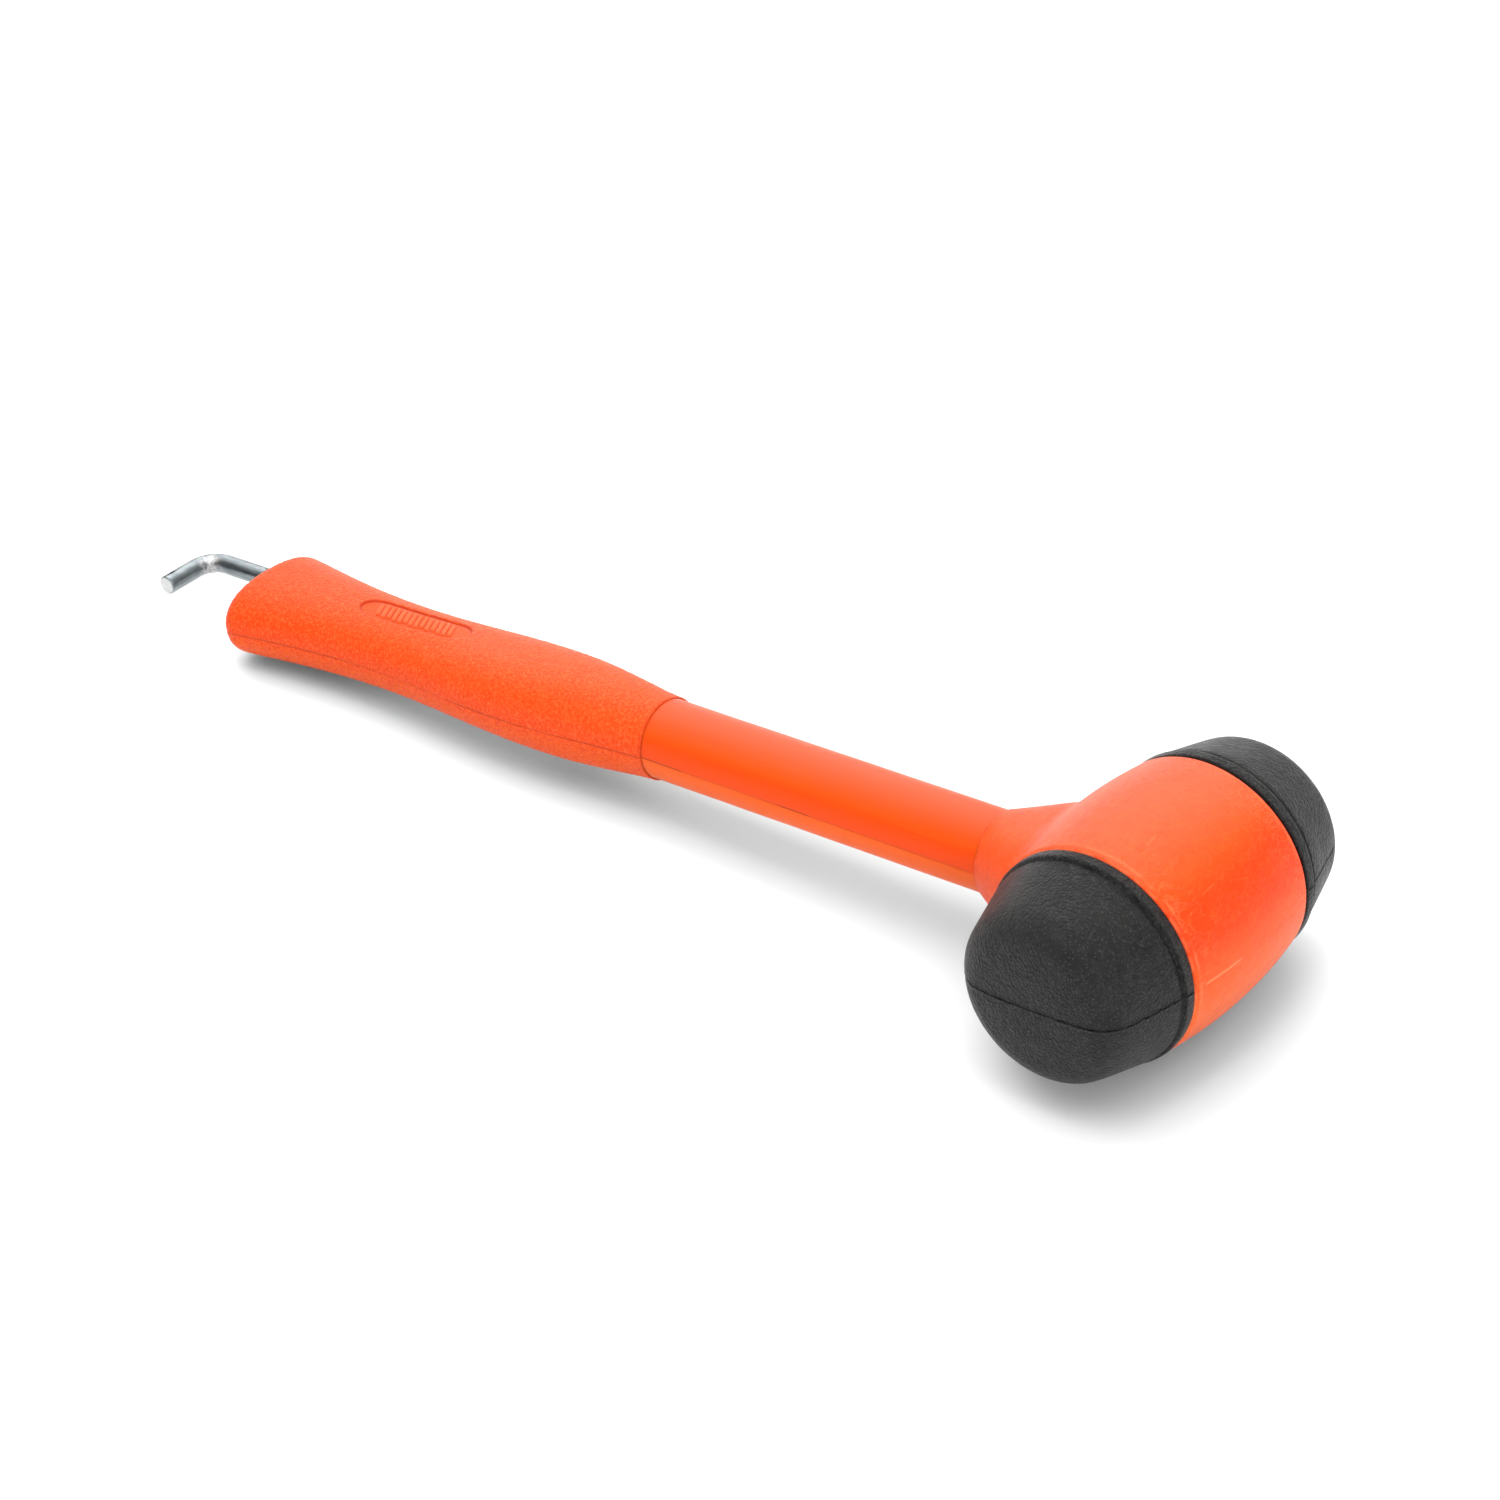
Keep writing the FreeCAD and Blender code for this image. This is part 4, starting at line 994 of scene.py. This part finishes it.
# ------------------------------ peg hook ------------------------------------
def build_hook():
    L = Loop(20, 20, 0.0, 0.0)
    segs = []
    def straight(p, q, step):
        p, q = A(p), A(q)
        n = max(1, int(round(np.linalg.norm(q - p) / step)))
        for k in range(n):
            segs.append((p + (q - p) * k / n, (q - p) / np.linalg.norm(q - p)))
    def bend(c, r, a0, a1, n):
        for k in range(n):
            a = a0 + (a1 - a0) * k / n
            s = 1 if a1 > a0 else -1
            segs.append((A([c[0] + r * math.cos(a), c[1] + r * math.sin(a)]), A([-math.sin(a), math.cos(a)]) * s))
    ar, br = ANCHOR_BEND_R, HOOK_BEND_R
    straight((ANCHOR_X, ANCHOR_Y), (ANCHOR_X, ROD_Y + ar), 1.2)
    bend((ANCHOR_X + ar, ROD_Y + ar), ar, math.pi, 1.5 * math.pi, 14)
    straight((ANCHOR_X + ar, ROD_Y), (HOOK_ARM_X - br, ROD_Y), 0.55)
    bend((HOOK_ARM_X - br, ROD_Y + br), br, -0.5 * math.pi, 0.0, 26)
    straight((HOOK_ARM_X, ROD_Y + br), (HOOK_ARM_X, HOOK_TIP_Y - 0.35), 0.5)
    segs.append((A([HOOK_ARM_X, HOOK_TIP_Y - 0.35]), A([0, 1.0])))
    S = Skin(L)
    first = None
    cen = A([HOOK_ARM_X - br, ROD_Y + br])
    for i, (c, tdir) in enumerate(segs):
        side = A([tdir[1], -tdir[0]])          # points outward from the bend
        r = np.full(L.n, ROD_R - 0.01)
        ca, sa = np.cos(L.ang), np.sin(L.ang)
        # distance along the bend, measured as an angle round its centre
        rel = c - cen
        in_bend = (rel[0] > -3.0) and (rel[1] < 3.0) and c[0] > 330
        if in_bend:
            phi = math.atan2(rel[1], rel[0])
            u = (phi + math.pi / 4) / (math.pi / 4)          # -1 .. 1 over the bend
            w = math.exp(-u * u * 0.9)
            inner = np.clip(-ca, 0, 1) ** 2
            outer = np.clip(ca, 0, 1) ** 2
            ripple = 0.16 * math.cos(u * 8.5) * w
            r = r - inner * (0.18 * w - ripple) - outer * 0.10 * w
        p = np.stack([c[0] + side[0] * r * ca, c[1] + side[1] * r * ca, r * sa], 1)
        ids = S.ring(p)
        first = ids if first is None else first
    for dy, rr in ((0.12, 2.93), (0.24, 2.80), (0.32, 2.66), (0.35, 2.5)):
        c = A([HOOK_ARM_X, HOOK_TIP_Y - 0.35 + dy])
        S.ring(np.stack([c[0] + rr * np.cos(L.ang), np.full(L.n, c[1]), rr * np.sin(L.ang)], 1))
    S.disc(S.last, lambda q, a: np.stack([HOOK_ARM_X + 2.5 * q * np.cos(a),
                                          HOOK_TIP_Y - 0.05 * (1 + fbm(np.stack([2.5 * q * np.cos(a), q * 0, 2.5 * q * np.sin(a)], 1) / 0.7, 2, 9)) / 2 * (q < 0.98),
                                          2.5 * q * np.sin(a)], 1))
    S.disc(first, lambda q, a: np.stack([ANCHOR_X - (ROD_R - 0.01) * q * np.cos(a), np.full_like(q, ANCHOR_Y),
                                         (ROD_R - 0.01) * q * np.sin(a)], 1), flip=True)
    v, f = S.done()
    f = outward(v, f)
    return make_piece("peg_hook_rod", v, f, M_ZINC, ["peg_hook"])


head = build_head()
front_cap = build_cap("front_cap_rubber", "front_striking_cap", 1, 3)
rear_cap = build_cap("rear_cap_rubber", "rear_striking_cap", -1, 11)
shaft = build_shaft()
grip = build_grip()
hook = build_hook()

for node, mat in {"canister_tube": M_STEEL, "front_canister_disc": M_STEEL, "rear_canister_disc": M_STEEL,
                  "shot_charge": M_SHOT, "core_socket": M_STEEL, "core_cross_pin": M_STEEL,
                  "handle_core_tube": M_STEEL, "core_end_plug": M_NYLON, "butt_clamp_upper": M_NYLON,
                  "butt_clamp_lower": M_NYLON, "butt_clamp_screws": M_STEEL}.items():
    ob = frame["nodes"][node]
    if not ob.material_slots:
        ob.data.materials.append(mat)
    for s in ob.material_slots:
        s.material = mat

# the floor stays neutral grey in the shadows: the orange skins give it no coloured bounce
for ob in (head, shaft, grip):
    ob.visible_diffuse = False

grip.visible_glossy = False

# ------------------------------ floor, light, camera ------------------------
floor_me = bpy.data.meshes.new("floor")
R_FLOOR = 6.0
ring = [(R_FLOOR * math.cos(2 * math.pi * i / 96), R_FLOOR * math.sin(2 * math.pi * i / 96), -0.0003) for i in range(96)]
floor_me.from_pydata(ring, [], [tuple(range(96))])
floor = bpy.data.objects.new("floor", floor_me)
bpy.context.scene.collection.objects.link(floor)
fm, ft = new_mat("floor")
fc = ft.coords()
away = ft.n("ShaderNodeVectorMath", operation="LENGTH")
ft.link(fc, away.inputs[0])
glow = ft.remap(away.outputs["Value"], 0.36, 0.95, 0.01, 0.75)
fp = ft.surface(**{"Base Color": ft.mix(ft.noise(fc, 4, 3, 0.5), (0.86, 0.86, 0.86), (0.88, 0.88, 0.88)), "Roughness": 0.7,
                   "Specular IOR Level": 0.2, "Emission Color": (1.0, 1.0, 1.0)})
ft.link(glow, fp.inputs["Emission Strength"])
floor_me.materials.append(fm)

# pale backdrop behind the floor's edge; it is only seen, and lights nothing
back_me = bpy.data.meshes.new("backdrop")
R_BACK, NA, NE = 5.9, 96, 24
bv = [(R_BACK * math.cos(2 * math.pi * i / NA) * math.cos(e), R_BACK * math.sin(2 * math.pi * i / NA) * math.cos(e),
       R_BACK * math.sin(e) - 0.0003) for e in [0.5 * math.pi * 0.98 * k / NE for k in range(NE + 1)] for i in range(NA)]
bf = [(k * NA + i, k * NA + (i + 1) % NA, (k + 1) * NA + (i + 1) % NA, (k + 1) * NA + i) for k in range(NE) for i in range(NA)]
back_me.from_pydata(bv, [], bf + [tuple(NE * NA + i for i in range(NA))])
backdrop = bpy.data.objects.new("backdrop", back_me)
bpy.context.scene.collection.objects.link(backdrop)
bm_, bt = new_mat("backdrop")
bt.surface(**{"Base Color": (0.0, 0.0, 0.0), "Roughness": 1.0, "Specular IOR Level": 0.0,
              "Emission Color": (1.0, 1.0, 1.0), "Emission Strength": 1.0})
bm_.cycles.emission_sampling = "NONE"
back_me.materials.append(bm_)
backdrop.visible_diffuse = False
backdrop.visible_glossy = False
backdrop.visible_transmission = False
backdrop.visible_shadow = False

world = bpy.data.worlds.new("studio")
world.use_nodes = True
wt = world.node_tree
bg = wt.nodes["Background"]
bg.inputs[0].default_value = (1.0, 1.0, 1.0, 1)
bg.inputs[1].default_value = 0.12
bpy.context.scene.world = world


def area(name, pos, target, size, power):
    d = bpy.data.lights.new(name, "AREA")
    d.energy = power
    d.shape = "DISK"
    d.size = size
    d.cycles.use_multiple_importance_sampling = False
    o = bpy.data.objects.new(name, d)
    bpy.context.scene.collection.objects.link(o)
    o.location = pos
    o.rotation_mode = "QUATERNION"
    o.rotation_quaternion = (Vector(target) - Vector(pos)).to_track_quat("-Z", "Y")
    return o


# a dome of soft round panels: azimuth, elevation, radiance
AIM = Vector((0.02, 0.0, 0.02))
DOME = 1.5
for k, (az, el, glow) in enumerate((
        (0.0, 14, 2.56), (90.0, 14, 1.86), (135.0, 14, 1.42), (180.0, 14, 0.51), (270.0, 14, 0.59), (315.0, 14, 2.70),
        (22.5, 40, 0.82), (67.5, 40, 0.33), (112.5, 40, 2.86), (157.5, 40, 2.56), (202.5, 40, 0.49),
        (292.5, 40, 1.04), (337.5, 40, 0.72),
        (0.0, 68, 2.11), (90.0, 68, 0.94), (180.0, 68, 1.48), (270.0, 68, 2.94), (0.0, 90, 1.54))):
    a, e = math.radians(az), math.radians(el)
    u = Vector((math.cos(a) * math.cos(e), math.sin(a) * math.cos(e), math.sin(e)))
    wide = 2 * DOME * math.tan(math.radians(17 if el < 30 else 19))
    area("panel_%02d" % k, AIM + u * DOME, AIM, wide, glow * math.pi * math.pi * (wide / 2) ** 2)

cam_data = bpy.data.cameras.new("camera")
cam_data.sensor_width = 36.0
cam_data.lens = 91.2
cam_data.clip_start, cam_data.clip_end = 0.01, 50
cam = bpy.data.objects.new("camera", cam_data)
bpy.context.scene.collection.objects.link(cam)
cx = Vector((0.7741291, 0.6311019, -0.0493400))
cy = Vector((-0.3160039, 0.4528021, 0.8337337))
cz = Vector((0.5485122, -0.6298259, 0.5499579))
cam.matrix_world = Matrix((
    (cx.x, cy.x, cz.x, 0.600727),
    (cx.y, cy.y, cz.y, -0.653174),
    (cx.z, cy.z, cz.z, 0.599888),
    (0, 0, 0, 1)))
bpy.context.scene.camera = cam
bpy.context.scene.view_settings.view_transform = "Standard"
bpy.context.scene.view_settings.look = "None"
